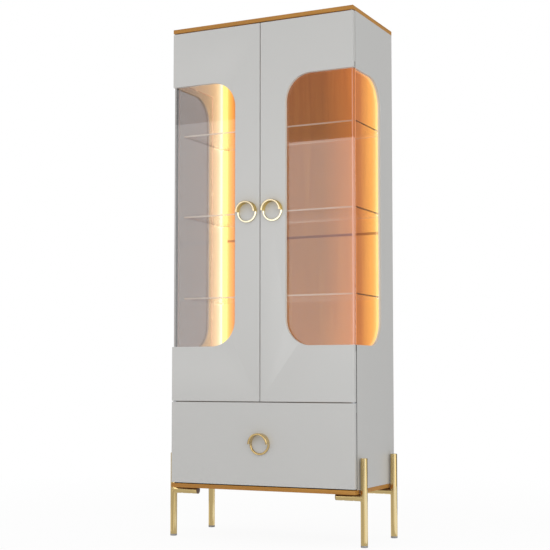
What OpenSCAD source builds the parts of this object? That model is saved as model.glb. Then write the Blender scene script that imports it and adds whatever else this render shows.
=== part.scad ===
// Glass display cabinet: two glazed corner-window doors over one deep drawer,
// four glass-lined tiers with corner lighting, on four brass tube legs.
// Millimetres, +Z up. The origin is on the floor, at the centre of the footprint.
// Inside the modules y = 0 is the front face of the doors and the drawer.

/* [Carcass] */
// Overall width over the side panels
body_w = 745; // [600:1:900]
// Depth from the face of the doors to the rear edge
body_d = 388; // [340:1:460]
// Height of the top above the floor
body_h = 1930; // [1850:1:2050]
// Height of the underside of the base above the floor
base_clear = 186; // [175:1:220]
// Thickness of the carcass boards
board_t = 15; // [15:0.5:19]
// Thickness of the back boards
back_t = 3; // [2.5:0.5:5]
// Distance of the back boards from the rear edge
back_inset = 2; // [1:0.5:4]
// How far the back boards reach into their rebates
back_lap = 7; // [4:0.5:9]
// Height of the joint between the two back boards
back_joint_z = 1150; // [1000:1:1170]
// Height of the strip that joins the back boards
strip_h = 10; // [8:1:24]
// Sheet thickness of that strip
strip_t = 0.8; // [0.6:0.1:1.2]
// Play of the boards in their rebates and of the strip between the light profiles
back_play = 0.3; // [0.2:0.1:1]

/* [Doors and drawer front] */
// Thickness of the doors and of the drawer front
front_t = 18; // [16:0.5:20]
// Space between the back of the fronts and the carcass edges
front_clear = 4.5; // [4:0.25:6]
// Gap above and below each front
front_gap = 3.5; // [3.2:0.1:5]
// Gap between the two doors
meeting_gap = 3; // [2:0.25:5]
// Height of the drawer front
drawer_front_h = 301; // [270:1:340]

/* [Windows] */
// Width of the solid strip beside the meeting edge of each door
stile_w = 102.5; // [90:0.5:130]
// Height of the solid strip of a door below its window
low_rail_h = 203; // [150:1:240]
// Height of the solid strip of a door above its window
top_rail_h = 206.5; // [160:0.5:240]
// Radius of the window corners
window_r = 97; // [40:1:110]
// Depth of the side windows, from the face of the doors
side_window_d = 264; // [200:1:275]

/* [Glass] */
// Thickness of the panes
glass_t = 4; // [3:0.5:6]
// How far a pane overlaps the board behind its window
glass_lap = 22; // [15:0.5:26]
// Play around a pane in its rebate
glass_play = 0.3; // [0.1:0.1:1]
// Thickness of the glass shelves
shelf_t = 6; // [5:0.5:8]
// Height of the top of the lowest shelf above the floor
shelf_z = 900; // [850:1:950]
// Distance from one shelf to the next
shelf_pitch = 313.5; // [290:0.5:330]
// Distance from the face of the doors to the front edge of the shelves
shelf_front = 57; // [40:1:90]
// Gap between a shelf and the sides
shelf_play = 2; // [1.5:0.5:4]
// Gap between a shelf and the back
shelf_back_play = 1; // [0.5:0.5:3]
// Size of the cut across the rear corners of a shelf
shelf_clip = 24; // [20:1:32]

/* [Shelf clamps and pane buttons] */
// Width of a shelf clamp along the shelf edge
clamp_w = 20; // [14:1:26]
// Reach of a clamp's jaws over the glass
clamp_reach = 12; // [8:0.5:16]
// Thickness of a clamp's jaws
clamp_jaw = 3; // [2:0.5:5]
// Distance from the back board to the centre of the rear clamps
clamp_rear = 38; // [36:1:42]
// Distance between the two clamps of one shelf end
clamp_pitch = 36; // [30:1:40]
// Diameter of the grub screw in the lower jaw of a clamp
grub_d = 4; // [3:0.5:5]
// Diameter of the buttons that hold the panes
button_d = 16; // [12:0.5:20]
// Thickness of the buttons
button_t = 2; // [1.5:0.1:2.4]
// How far a button covers the glass
button_cover = 5; // [3:0.5:7]
// Diameter of the hole in a button
button_hole_d = 4; // [3:0.5:5]
// Distance from the outer edge of a door to its last button
button_end = 60; // [30:1:90]

/* [Handles] */
// Outer diameter of the ring handles
ring_d = 80; // [66:1:96]
// Radial wall of the rings
ring_wall = 7; // [5:0.25:9]
// Depth of the raised upper half of a ring
ring_proud = 25; // [16:0.5:32]
// Depth of the low half of a ring
ring_low = 7; // [6:0.5:12]
// Radius of the rounded front edges of a ring
ring_round = 1.4; // [0.6:0.1:2]
// Distance from a ring's centre to the meeting edge of its door
ring_inset = 51; // [49:0.5:60]
// Height of the door rings above the floor
ring_z = 1207; // [1100:1:1300]
// Diameter of the handle screws
handle_screw_d = 3; // [2.5:0.25:3.5]
// Diameter of the heads of the handle screws
handle_head_d = 7; // [6:0.25:9]
// Height of the heads of the handle screws
handle_head_h = 2; // [1.5:0.1:2.4]
// How far the handle screws reach into a ring
handle_thread = 4.5; // [3:0.25:5]

/* [Door pivots] */
// Distance of the pivot axis from the outer edge of a door
pivot_inset = 9; // [8:0.25:9]
// Diameter of the pivot pins
pin_d = 5; // [4:0.5:6]
// Radial running clearance around a pivot pin
pin_play = 0.05; // [0.03:0.01:0.08]
// Depth of the upper pin in the door
pin_seat = 24; // [16:1:32]
// Length of a pin inside its bush
pin_reach = 8; // [6:0.5:10]
// Diameter of the pivot bushes
bush_d = 9; // [8:0.25:10]
// Floor of a bush beyond the end of its pin
bush_floor = 1.5; // [1:0.25:2]
// Diameter of the collar of the lower bushes
collar_d = 13; // [11:0.5:15]
// Thickness of the pivot bracket plate
bracket_t = 1.6; // [1.2:0.1:1.8]
// Space between the drawer front and the bracket above it
bracket_lift = 0.7; // [0.5:0.1:0.9]
// Height of the bracket's screwed flange
bracket_h = 34; // [24:1:44]
// Distance of the bracket from the outer face of the side panel
bracket_edge = 1; // [0.5:0.5:3]
// Space between a bracket and the collar that turns on it
collar_play = 0.3; // [0.2:0.05:0.4]
// Diameter of the screw holes in the bracket flange
bracket_hole_d = 4.5; // [3.5:0.25:5]

/* [Magnetic catch] */
// Width of the double magnetic catch
catch_w = 62; // [50:1:70]
// Height of the catch
catch_h = 14; // [10:0.5:18]
// Depth of the catch
catch_d = 20; // [14:0.5:26]
// Width of a strike plate
strike_w = 22; // [16:1:24]
// Height of a strike plate
strike_h = 9; // [7:0.5:9]
// Thickness of a strike plate
strike_t = 1; // [0.8:0.1:1.5]
// Gap between a strike plate and the catch
strike_gap = 0.4; // [0.3:0.1:0.8]

/* [Lighting] */
// Width of each leg of the corner light profile
light_leg = 16; // [12:0.5:18]
// Wall of the light profile
light_wall = 1.2; // [1:0.1:2]
// Share of the profile's width taken by the sloping seat of the tape
tape_share = 0.7; // [0.6:0.05:0.8]
// Thickness of the opal cover
cover_t = 1.2; // [0.8:0.1:1.6]
// Width of the light tape
tape_w = 8; // [6:0.5:8]
// Thickness of the light tape
tape_t = 0.8; // [0.5:0.1:1.2]
// Outer diameter of the cable grommet
grommet_d = 30; // [24:1:36]
// Inner diameter of the cable grommet
grommet_bore = 22; // [14:1:23]
// Thickness of the grommet's rim
rim_t = 1.2; // [0.8:0.1:1.5]
// Distance of the grommet from the side panel and from the divider
grommet_inset = 50; // [45:1:80]

/* [Legs] */
// Diameter of the leg tubes
leg_d = 25.4; // [20:0.1:30]
// Wall of the leg tubes
leg_wall = 1.5; // [1.2:0.1:2.5]
// Height of a leg above the underside of the base
leg_rise = 126; // [60:1:200]
// Gap between a leg and the side panel
leg_gap = 3.5; // [2:0.25:8]
// Distance from the face of the doors to the front leg centres
leg_front = 46.3; // [36:0.1:70]
// Distance from the rear edge to the rear leg centres
leg_rear = 45.7; // [36:0.1:70]
// Length of the cross tube, from the leg centre to its end
cross_len = 105; // [80:1:160]
// Thickness of the welded cap on a leg
cap_t = 2; // [1.5:0.5:4]
// Height of the foot glide below the tube
glide_h = 7; // [4:0.5:12]
// Length of a glide or plug inside its tube
plug_len = 16; // [10:1:24]
// Thickness of the plug's rim at the end of the cross tube
plug_rim = 2; // [1.5:0.5:4]
// Play between a plug and its tube
plug_play = 0.1; // [0.05:0.05:0.3]
// Distance between the two screws of a leg
leg_screw_pitch = 40; // [25:1:44]
// Diameter of the leg screws
leg_screw_d = 6; // [5:0.5:7]
// Diameter of the heads of the leg screws
leg_head_d = 11; // [10:0.5:12]
// Height of the heads of the leg screws
leg_head_h = 3; // [2:0.5:4]
// How far the leg screws reach into the base
leg_thread = 11; // [8:0.5:12]
// Diameter of the access holes under the cross tubes
access_d = 12.5; // [12:0.5:14]
// Play between a screw and its clearance hole
screw_play = 0.2; // [0.1:0.05:0.4]

/* [Drawer box] */
// Thickness of the drawer's side, back and inner front boards
box_t = 12; // [10:0.5:14]
// Height of the drawer's side boards
box_h = 200; // [140:1:230]
// Height of the drawer box above the base board
box_lift = 24; // [15:1:40]
// Length of the drawer box behind its front
box_len = 350; // [300:1:355]
// Thickness of the drawer bottom
bottom_t = 4; // [3:0.5:6]
// Depth of the groove for the drawer bottom
groove_d = 5; // [4:0.5:6]
// Height of the drawer bottom above the lower edge of the box
bottom_lift = 10; // [8:0.5:16]
// Play of the drawer bottom in its groove
groove_play = 0.15; // [0.1:0.05:0.3]

/* [Runners] */
// Width of a telescopic runner, from the side panel to the drawer
runner_w = 12.7; // [12:0.1:13.5]
// Height of a runner
runner_h = 45; // [42:0.5:48]
// Length of the runner members
runner_len = 345; // [300:1:350]
// Sheet thickness of the runner members
runner_t = 1.2; // [1:0.1:1.4]
// Width of the flanges of a runner member
member_w = 9.5; // [8:0.1:10]
// Gap between the webs of nested runner members
member_gap = 0.5; // [0.3:0.1:0.8]
// Distance from the front edge of the side panels to the runners
runner_front = 1; // [0.5:0.5:5]
// Height of the runner's centre above the lower edge of the box
runner_z = 60; // [40:1:100]
// Diameter of the runner balls
ball_d = 3; // [2.6:0.1:3.4]
// Play on each side of a ball
ball_play = 0.1; // [0.05:0.05:0.2]
// Length of a ball cage
cage_len = 100; // [80:1:120]
// Number of balls in a cage
cage_balls = 4; // [3:1:6]
// Thickness of the cage strip
cage_t = 1.4; // [1:0.1:1.8]

/* [Hidden] */

$fn = 64;
lacquer = "#c3c2bf";
inside_grey = "#c9c8c6";
timber = "#b5834a";
clear_glass = [0.75, 0.72, 0.68, 0.35];
gold = "#d8b878";
steel = "#a9abad";
nylon = "#d9d6cf";
dark_plastic = "#3a3733";
opal = "#ffe2a0";

front_y = -(body_d - ring_proud) / 2;
half_w = body_w / 2;
inner_x = half_w - board_t;
base_z = base_clear + board_t;
top_z = body_h - board_t;
side_y = front_t + front_clear;
back_y = body_d - back_inset - back_t;
drawer_z = base_z + front_gap;
drawer_top_z = drawer_z + drawer_front_h;
door_z = drawer_top_z + front_gap;
door_top_z = top_z - front_gap;
divider_z = drawer_top_z + front_gap / 2 - board_t / 2;
floor_z = divider_z + board_t;
window_x = meeting_gap / 2 + stile_w;
window_z = door_z + low_rail_h;
window_top_z = door_top_z - top_rail_h;
window_h = window_top_z - window_z;
cut = 1;

pivot_x = half_w - pivot_inset;
pivot_y = front_t / 2;
bush_h = pin_reach + bush_floor;
bracket_z = drawer_top_z + bracket_lift;
bracket_top_z = bracket_z + bracket_t;
collar_t = door_z - bracket_top_z - collar_play;

ring_x = meeting_gap / 2 + ring_inset;
ring_mid_r = (ring_d - ring_wall) / 2;
drawer_ring_z = drawer_z + drawer_front_h / 2;

leg_x = half_w + leg_gap + leg_d / 2;
leg_ys = [leg_front, body_d - leg_rear];
cross_z = base_clear - leg_d / 2;
tube_bore = leg_d - 2 * leg_wall;
leg_screw_x = leg_x - cross_len + plug_len + leg_head_d;
leg_screw_xs = [leg_screw_x, leg_screw_x + leg_screw_pitch];

box_z = base_z + box_lift;
box_y = front_t + box_len;
box_x = inner_x - runner_w;
bottom_z = box_z + bottom_lift;
rail_z = box_z + runner_z;
rail_y = side_y + runner_front;
race_h = ball_d + 2 * ball_play;
outer_half = runner_h / 2;
middle_half = outer_half - runner_t - race_h;
inner_half = middle_half - runner_t - race_h;

pane_z = window_z - glass_lap;
pane_top_z = window_top_z + glass_lap;
pane_rear_y = side_window_d + glass_lap;
door_pane_x = window_x - glass_lap;
side_button_zs = [for (i = [0:3]) window_z + (i + 0.5) * window_h / 4];
door_button_zs = [for (i = [0:2]) window_z + window_r + i * (window_h - 2 * window_r) / 2];
door_button_xs = [window_x + window_r, half_w - button_end];
grommet_x = inner_x - grommet_inset;
grommet_z = floor_z + grommet_inset;
tape_seat = light_leg * tape_share;

// Places geometry given from the face of the doors into the part's own frame
module in_place() {
    translate([0, front_y, 0]) children();
}

// Draws the right-hand piece, or its mirror image for side = -1
module on_side(side) {
    in_place() mirror([side < 0 ? 1 : 0, 0, 0]) children();
}

// A board or bar given by its lowest and highest corners
module block(low, high) {
    translate(low) cube(high - low);
}

// Extrudes an outline drawn in x and z along y
module along_y(y0, y1) {
    translate([0, y1, 0]) rotate([90, 0, 0]) linear_extrude(y1 - y0) children();
}

// Extrudes an outline drawn in y and z along x
module along_x(x0, x1) {
    translate([x0, 0, 0]) rotate([90, 0, 90]) linear_extrude(x1 - x0) children();
}

// Outline of a window: a straight edge at u = w and round corners at u = 0
module window_outline(w) {
    $fn = 128;
    translate([window_r, 0]) square([w - window_r, window_h]);
    translate([0, window_r]) square([window_r + cut, window_h - 2 * window_r]);
    translate([window_r, window_r]) circle(window_r);
    translate([window_r, window_h - window_r]) circle(window_r);
}

// Rebate for the edge of the back boards, as wide as the space between the sides
module back_rebate(z0, z1) {
    block([-inner_x - back_lap, back_y, z0], [inner_x + back_lap, body_d + cut, z1]);
}

module top_panel() {
    color(timber) in_place() difference() {
        block([-half_w, 0, top_z], [half_w, body_d, body_h]);
        back_rebate(top_z - cut, top_z + back_lap);
        for (side = [-1, 1])
            translate([side * pivot_x, pivot_y, top_z - cut]) cylinder(h = bush_h + cut, d = bush_d);
    }
}

module base_panel() {
    color(timber) in_place() difference() {
        block([-half_w, 0, base_clear], [half_w, body_d, base_z]);
        back_rebate(base_z - back_lap, base_z + cut);
        for (side = [-1, 1], y = leg_ys, x = leg_screw_xs)
            translate([side * x, y, base_clear - cut])
                cylinder(h = leg_thread + screw_play + cut, d = leg_screw_d + screw_play, $fn = 32);
    }
}

module divider_panel() {
    color(inside_grey) in_place()
        block([-inner_x, side_y, divider_z], [inner_x, back_y, floor_z]);
}

module side_panel(side) {
    color(lacquer) on_side(side) difference() {
        block([inner_x, side_y, base_z], [half_w, body_d, top_z]);
        along_x(inner_x - cut, half_w + cut)
            translate([side_window_d, window_z]) mirror([1, 0]) window_outline(side_window_d);
        block([inner_x - cut, side_y - cut, pane_z - glass_play],
              [inner_x + glass_t, pane_rear_y + glass_play, pane_top_z + glass_play]);
        block([inner_x - cut, back_y, base_z - cut], [inner_x + back_lap, body_d + cut, top_z + cut]);
    }
}

module back_board(z0, z1) {
    reach = inner_x + back_lap - back_play;
    block([-reach, back_y, z0], [reach, back_y + back_t, z1]);
}

module back_panel_upper() {
    color(timber) in_place() back_board(back_joint_z + strip_t / 2, top_z + back_lap - back_play);
}

module back_panel_lower() {
    color(timber) in_place() difference() {
        back_board(base_z - back_lap + back_play, back_joint_z - strip_t / 2);
        translate([grommet_x, back_y - cut, grommet_z]) rotate([-90, 0, 0])
            cylinder(h = back_t + 2 * cut, d = grommet_d + 2 * plug_play);
    }
}

// H-section strip that joins the two back boards
module back_joint_strip() {
    reach = inner_x - light_leg - back_play;
    color(dark_plastic) in_place() along_x(-reach, reach) {
        translate([back_y - strip_t, back_joint_z - strip_t / 2]) square([back_t + 2 * strip_t, strip_t]);
        for (y = [back_y - strip_t, back_y + back_t])
            translate([y, back_joint_z - strip_h / 2]) square([strip_t, strip_h]);
    }
}

// Plastic lead-through for the cable of the lights
module cable_grommet() {
    color(dark_plastic) in_place() translate([grommet_x, back_y, grommet_z]) rotate([-90, 0, 0]) difference() {
        union() {
            translate([0, 0, -rim_t]) cylinder(h = rim_t, d = grommet_d + 4 * rim_t);
            cylinder(h = back_t, d = grommet_d);
        }
        translate([0, 0, -rim_t - cut]) cylinder(h = back_t + rim_t + 2 * cut, d = grommet_bore);
    }
}

module side_glass(side) {
    color(clear_glass) on_side(side)
        block([inner_x, side_y, pane_z], [inner_x + glass_t, pane_rear_y, pane_top_z]);
}

// Screwed button that holds the edge of a pane, lying in the xy plane
module pane_button() {
    difference() {
        cylinder(h = button_t, d = button_d);
        translate([0, 0, -cut]) cylinder(h = button_t + 2 * cut, d = button_hole_d);
        translate([0, 0, button_t - button_hole_d / 4])
            cylinder(h = button_hole_d / 4 + cut, d1 = button_hole_d, d2 = 2 * button_hole_d + cut, $fn = 48);
    }
}

module side_glass_buttons() {
    color(nylon) for (side = [-1, 1]) on_side(side) {
        for (z = side_button_zs)
            translate([inner_x, pane_rear_y - button_cover + button_d / 2, z]) rotate([0, -90, 0]) pane_button();
        for (z = [pane_z + button_cover - button_d / 2, pane_top_z - button_cover + button_d / 2])
            translate([inner_x, (side_y + pane_rear_y) / 2, z]) rotate([0, -90, 0]) pane_button();
    }
}

// Glass shelf with its rear corners cut off for the light profiles
module shelf(number) {
    top = shelf_z + number * shelf_pitch;
    x = inner_x - shelf_play;
    y = back_y - shelf_back_play;
    color(clear_glass) in_place() translate([0, 0, top - shelf_t]) linear_extrude(shelf_t)
        polygon([[-x, shelf_front], [x, shelf_front], [x, y - shelf_clip], [x - shelf_clip, y],
                 [-x + shelf_clip, y], [-x, y - shelf_clip]]);
}

// Cast clamp that grips one edge of a shelf, with a grub screw from below
module shelf_clamp() {
    nose = clamp_jaw / 2;
    translate([0, clamp_w / 2, 0]) rotate([90, 0, 0]) linear_extrude(clamp_w) {
        translate([-shelf_play, -clamp_jaw - shelf_t]) square([shelf_play, 2 * clamp_jaw + shelf_t]);
        for (z = [0, -shelf_t - clamp_jaw]) {
            translate([-clamp_reach, z]) square([clamp_reach, clamp_jaw]);
            translate([-clamp_reach, z + nose]) circle(nose);
        }
    }
    translate([-clamp_reach / 2 - shelf_play, 0, -shelf_t - clamp_jaw - grub_d / 2])
        cylinder(h = clamp_jaw + grub_d / 2, d = grub_d, $fn = 32);
}

module shelf_clamps(side) {
    color(steel) on_side(side)
        for (number = [0:2], y = [back_y - clamp_rear - clamp_pitch, back_y - clamp_rear])
            translate([inner_x, y, shelf_z + number * shelf_pitch]) shelf_clamp();
}

// Outlines in the rear corner are drawn from the corner, towards the inside
module in_corner() {
    for (side = [-1, 1]) on_side(side)
        translate([inner_x, back_y, floor_z]) rotate([0, 0, 180]) linear_extrude(top_z - floor_z) children();
}

// Corner light profile: two legs and a sloping web for the tape
module light_profiles() {
    color(steel) in_corner() {
        square([light_leg, light_wall]);
        square([light_wall, light_leg]);
        polygon([[0, 0], [tape_seat, 0], [0, tape_seat]]);
    }
}

module light_tapes() {
    color(opal) in_corner() translate([tape_seat / 2, tape_seat / 2]) rotate(-45)
        translate([-tape_w / 2, 0]) square([tape_w, tape_t]);
}

// Quarter-round opal cover of the light profile
module light_covers() {
    color(opal) in_corner() intersection() {
        difference() {
            circle(light_leg, $fn = 96);
            circle(light_leg - cover_t, $fn = 96);
        }
        translate([light_wall, light_wall]) square(light_leg);
    }
}

// Leg tube with a welded cap and the cross tube under the base
module leg(side, y) {
    color(gold) on_side(side) translate([leg_x, y, 0]) difference() {
        union() {
            translate([0, 0, glide_h]) cylinder(h = base_clear + leg_rise - glide_h, d = leg_d, $fn = 96);
            translate([0, 0, cross_z]) rotate([0, -90, 0]) cylinder(h = cross_len, d = leg_d, $fn = 96);
        }
        translate([0, 0, glide_h - cut])
            cylinder(h = base_clear + leg_rise - glide_h - cap_t + cut, d = tube_bore);
        translate([-leg_d / 2, 0, cross_z]) rotate([0, -90, 0]) cylinder(h = cross_len, d = tube_bore);
        for (x = leg_screw_xs) translate([x - leg_x, 0, 0]) {
            translate([0, 0, cross_z]) cylinder(h = leg_d, d = leg_screw_d + 2 * screw_play, $fn = 32);
            translate([0, 0, cross_z - leg_d]) cylinder(h = leg_d, d = access_d, $fn = 32);
        }
    }
}

module foot_glides() {
    color(dark_plastic) for (side = [-1, 1], y = leg_ys) on_side(side) translate([leg_x, y, 0]) {
        cylinder(h = glide_h, d = leg_d);
        cylinder(h = glide_h + plug_len, d = tube_bore - 2 * plug_play);
    }
}

module cross_tube_plugs() {
    color(dark_plastic) for (side = [-1, 1], y = leg_ys) on_side(side)
        translate([leg_x - cross_len, y, cross_z]) rotate([0, -90, 0]) {
            cylinder(h = plug_rim, d = leg_d);
            translate([0, 0, -plug_len]) cylinder(h = plug_len + plug_rim, d = tube_bore - 2 * plug_play);
        }
}

// Pan-head screws from inside the cross tubes into the base
module leg_screws() {
    wall_z = cross_z + sqrt(pow(tube_bore, 2) - pow(leg_head_d, 2)) / 2;
    color(steel) for (side = [-1, 1], y = leg_ys, x = leg_screw_xs) on_side(side) translate([x, y, 0]) {
        translate([0, 0, wall_z - leg_head_h]) cylinder(h = leg_head_h, d = leg_head_d, $fn = 32);
        translate([0, 0, wall_z - leg_head_h])
            cylinder(h = base_clear + leg_thread - wall_z + leg_head_h, d = leg_screw_d, $fn = 32);
    }
}

module top_pivot_bushes() {
    color(nylon) in_place() for (side = [-1, 1]) translate([side * pivot_x, pivot_y, top_z]) difference() {
        cylinder(h = bush_h, d = bush_d);
        translate([0, 0, -cut]) cylinder(h = pin_reach + cut, d = pin_d + 2 * pin_play);
    }
}

// Angle bracket in the gap under the door, with the lower pivot pin
module pivot_bracket(side) {
    flange_x = [inner_x, half_w - bracket_edge];
    color(steel) on_side(side) {
        difference() {
            union() {
                block([pivot_x - collar_d / 2, pivot_y, bracket_z], [flange_x[1], side_y, bracket_top_z]);
                translate([pivot_x, pivot_y, bracket_z]) cylinder(h = bracket_t, d = collar_d);
                block([flange_x[0], side_y - bracket_t, bracket_z - bracket_h], [flange_x[1], side_y, bracket_z]);
            }
            for (z = [bracket_h / 4, bracket_h * 3 / 4])
                translate([(flange_x[0] + flange_x[1]) / 2, side_y - bracket_t - cut, bracket_z - z])
                    rotate([-90, 0, 0]) cylinder(h = bracket_t + 2 * cut, d = bracket_hole_d, $fn = 32);
        }
        translate([pivot_x, pivot_y, bracket_z])
            cylinder(h = door_z + pin_reach - bracket_z, d = pin_d);
    }
}

// Double magnetic catch under the top, behind the meeting edges of the doors
module magnetic_catch() {
    face_y = front_t + strike_t + strike_gap;
    color(dark_plastic) in_place() difference() {
        block([-catch_w / 2, face_y, top_z - catch_h], [catch_w / 2, face_y + catch_d, top_z]);
        block([-strike_gap, face_y - cut, top_z - catch_h - cut], [strike_gap, face_y + catch_d / 2, top_z + cut]);
    }
}

module door_strike(side) {
    strike_x = catch_w / 4;
    color(steel) on_side(side)
        block([strike_x - strike_w / 2, front_t, door_top_z - strike_h], [strike_x + strike_w / 2, front_t + strike_t, door_top_z]);
}

// Door board: a corner window, the rebate for its pane, pivot bores and handle holes
module door_panel(side) {
    color(lacquer) on_side(side) difference() {
        block([meeting_gap / 2, 0, door_z], [half_w, front_t, door_top_z]);
        along_y(-cut, front_t + cut) translate([window_x, window_z]) window_outline(half_w + cut - window_x);
        block([door_pane_x - glass_play, front_t - glass_t, pane_z - glass_play],
              [half_w + cut, front_t + cut, pane_top_z + glass_play]);
        translate([pivot_x, pivot_y, door_top_z - pin_seat]) cylinder(h = pin_seat + cut, d = pin_d);
        translate([pivot_x, pivot_y, door_z - cut]) cylinder(h = bush_h + cut, d = bush_d);
        handle_screw_holes(ring_x, ring_z, front_t);
    }
}

module door_glass(side) {
    color(clear_glass) on_side(side)
        block([door_pane_x, front_t - glass_t, pane_z], [half_w, front_t, pane_top_z]);
}

module door_glass_buttons(side) {
    edge = button_d / 2 - button_cover;
    color(nylon) on_side(side) {
        for (z = door_button_zs)
            translate([door_pane_x - edge, front_t, z]) rotate([-90, 0, 0]) pane_button();
        for (x = door_button_xs, z = [pane_z - edge, pane_top_z + edge])
            translate([x, front_t, z]) rotate([-90, 0, 0]) pane_button();
    }
}

// Half of a ring standing on the face of a front: depth d, rounded front edges
module half_ring(d, upper) {
    intersection() {
        rotate([90, 0, 0]) rotate_extrude($fn = 128) translate([ring_d / 2 - ring_wall, 0]) {
            square([ring_wall, d - ring_round]);
            translate([ring_round, 0]) square([ring_wall - 2 * ring_round, d]);
            for (x = [ring_round, ring_wall - ring_round]) translate([x, d - ring_round]) circle(ring_round, $fn = 48);
        }
        block([-ring_d, -d - cut, upper ? 0 : -ring_d], [ring_d, cut, upper ? ring_d : 0]);
    }
}

// Ring handle: the upper half is a deep band to pull on, the lower half lies low
module ring_handle(x, z) {
    color(gold) in_place() translate([x, 0, z]) difference() {
        union() {
            half_ring(ring_proud, true);
            half_ring(ring_low, false);
        }
        for (up = [-1, 1]) translate([0, 0, up * ring_mid_r]) rotate([90, 0, 0]) translate([0, 0, -cut])
            cylinder(h = handle_thread + 2 * cut, d = handle_screw_d + 2 * pin_play, $fn = 32);
    }
}

module handle_screw_holes(x, z, depth) {
    for (up = [-1, 1]) translate([x, -cut, z + up * ring_mid_r]) rotate([-90, 0, 0])
        cylinder(h = depth + 2 * cut, d = handle_screw_d + 2 * screw_play, $fn = 32);
}

// Pan-head screws through a front of the given depth into a ring handle
module handle_screws(x, z, depth) {
    color(steel) in_place() for (up = [-1, 1]) translate([x, depth, z + up * ring_mid_r]) rotate([90, 0, 0]) {
        translate([0, 0, -handle_head_h]) cylinder(h = handle_head_h, d = handle_head_d, $fn = 32);
        translate([0, 0, -handle_head_h])
            cylinder(h = handle_head_h + depth + handle_thread, d = handle_screw_d, $fn = 32);
    }
}

module door_pivot_pin(side) {
    color(steel) on_side(side) translate([pivot_x, pivot_y, door_top_z - pin_seat])
        cylinder(h = pin_seat + front_gap + pin_reach, d = pin_d);
}

// Collared bush in the lower edge of a door
module door_pivot_bush(side) {
    color(nylon) on_side(side) translate([pivot_x, pivot_y, door_z]) difference() {
        union() {
            cylinder(h = bush_h, d = bush_d);
            translate([0, 0, -collar_t]) cylinder(h = collar_t, d = collar_d);
        }
        translate([0, 0, -collar_t - cut]) cylinder(h = collar_t + pin_reach + bush_floor / 2 + cut, d = pin_d + 2 * pin_play);
    }
}

module drawer_front() {
    color(lacquer) in_place() difference() {
        block([-half_w, 0, drawer_z], [half_w, front_t, drawer_top_z]);
        handle_screw_holes(0, drawer_ring_z, front_t);
    }
}

// Groove for the drawer bottom, cut into whichever board it passes
module bottom_groove() {
    block([-box_x + box_t - groove_d, front_t + box_t - groove_d, bottom_z - groove_play],
          [box_x - box_t + groove_d, box_y - box_t + groove_d, bottom_z + bottom_t + groove_play]);
}

module drawer_side(side) {
    color(inside_grey) on_side(side) difference() {
        block([box_x - box_t, front_t, box_z], [box_x, box_y, box_z + box_h]);
        bottom_groove();
    }
}

module drawer_inner_front() {
    color(inside_grey) in_place() difference() {
        block([-box_x + box_t, front_t, box_z], [box_x - box_t, front_t + box_t, box_z + box_h]);
        bottom_groove();
        handle_screw_holes(0, drawer_ring_z, front_t + box_t);
    }
}

module drawer_back() {
    color(inside_grey) in_place() difference() {
        block([-box_x + box_t, box_y - box_t, box_z], [box_x - box_t, box_y, box_z + box_h]);
        bottom_groove();
    }
}

module drawer_bottom() {
    reach = groove_d - groove_play;
    color(inside_grey) in_place()
        block([-box_x + box_t - reach, front_t + box_t - reach, bottom_z],
              [box_x - box_t + reach, box_y - box_t + reach, bottom_z + bottom_t]);
}

// Channel outline: web between u0 and u0 + t, flanges at z = +-half up to u1
module channel(u0, u1, half) {
    web = u1 > u0 ? u0 : u0 - runner_t;
    translate([web, -half]) square([runner_t, 2 * half]);
    for (z = [-half, half - runner_t])
        translate([min(u0, u1), z]) square([abs(u1 - u0), runner_t]);
}

// Runner pieces are drawn from the side panel's inner face towards the drawer
module on_runners(y0, y1) {
    for (side = [-1, 1]) on_side(side) translate([inner_x, 0, rail_z]) mirror([1, 0, 0]) along_y(y0, y1) children();
}

module runner_outer_members() {
    color(steel) on_runners(rail_y, rail_y + runner_len) channel(0, member_w, outer_half);
}

module runner_middle_members() {
    color(steel) on_runners(rail_y, rail_y + runner_len)
        channel(runner_t + member_gap, member_w, middle_half);
}

module runner_inner_members() {
    color(steel) on_runners(rail_y, rail_y + runner_len)
        channel(runner_w, runner_w - member_w + member_gap, inner_half);
}

// One strip of balls, centred at the given height and distance from the side panel
module ball_cage(u, z, y) {
    step = cage_len / cage_balls;
    translate([u - ball_d / 2, y, z - cage_t / 2]) cube([ball_d, cage_len, cage_t]);
    for (number = [0:cage_balls - 1])
        translate([u, y + (number + 0.5) * step, z]) sphere(d = ball_d, $fn = 16);
}

module runner_ball_cages() {
    u = (runner_w + member_gap) / 2;
    color(nylon) for (side = [-1, 1]) on_side(side) translate([inner_x, 0, rail_z]) mirror([1, 0, 0])
        for (up = [-1, 1]) {
            ball_cage(u, up * (outer_half - runner_t - race_h / 2), rail_y + runner_len - cage_len - ball_d);
            ball_cage(u, up * (middle_half - runner_t - race_h / 2), rail_y + ball_d);
        }
}

top_panel();
base_panel();
divider_panel();
side_panel(-1);  // side_panel_left
side_panel(1);  // side_panel_right
back_panel_upper();
back_panel_lower();
back_joint_strip();
cable_grommet();
side_glass(-1);  // side_glass_left
side_glass(1);  // side_glass_right
side_glass_buttons();
shelf(0);  // shelf_lower
shelf(1);  // shelf_middle
shelf(2);  // shelf_upper
shelf_clamps(-1);  // shelf_clamps_left
shelf_clamps(1);  // shelf_clamps_right
light_profiles();
light_tapes();
light_covers();
leg(-1, leg_ys[0]);  // leg_front_left
leg(1, leg_ys[0]);  // leg_front_right
leg(-1, leg_ys[1]);  // leg_rear_left
leg(1, leg_ys[1]);  // leg_rear_right
foot_glides();
cross_tube_plugs();
leg_screws();
top_pivot_bushes();
pivot_bracket(-1);  // pivot_bracket_left
pivot_bracket(1);  // pivot_bracket_right
magnetic_catch();
door_panel(-1);  // door_panel_left
door_glass(-1);  // door_glass_left
door_glass_buttons(-1);  // door_glass_buttons_left
ring_handle(-ring_x, ring_z);  // door_handle_left
handle_screws(-ring_x, ring_z, front_t);  // door_handle_screws_left
door_pivot_pin(-1);  // door_pivot_pin_left
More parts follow.
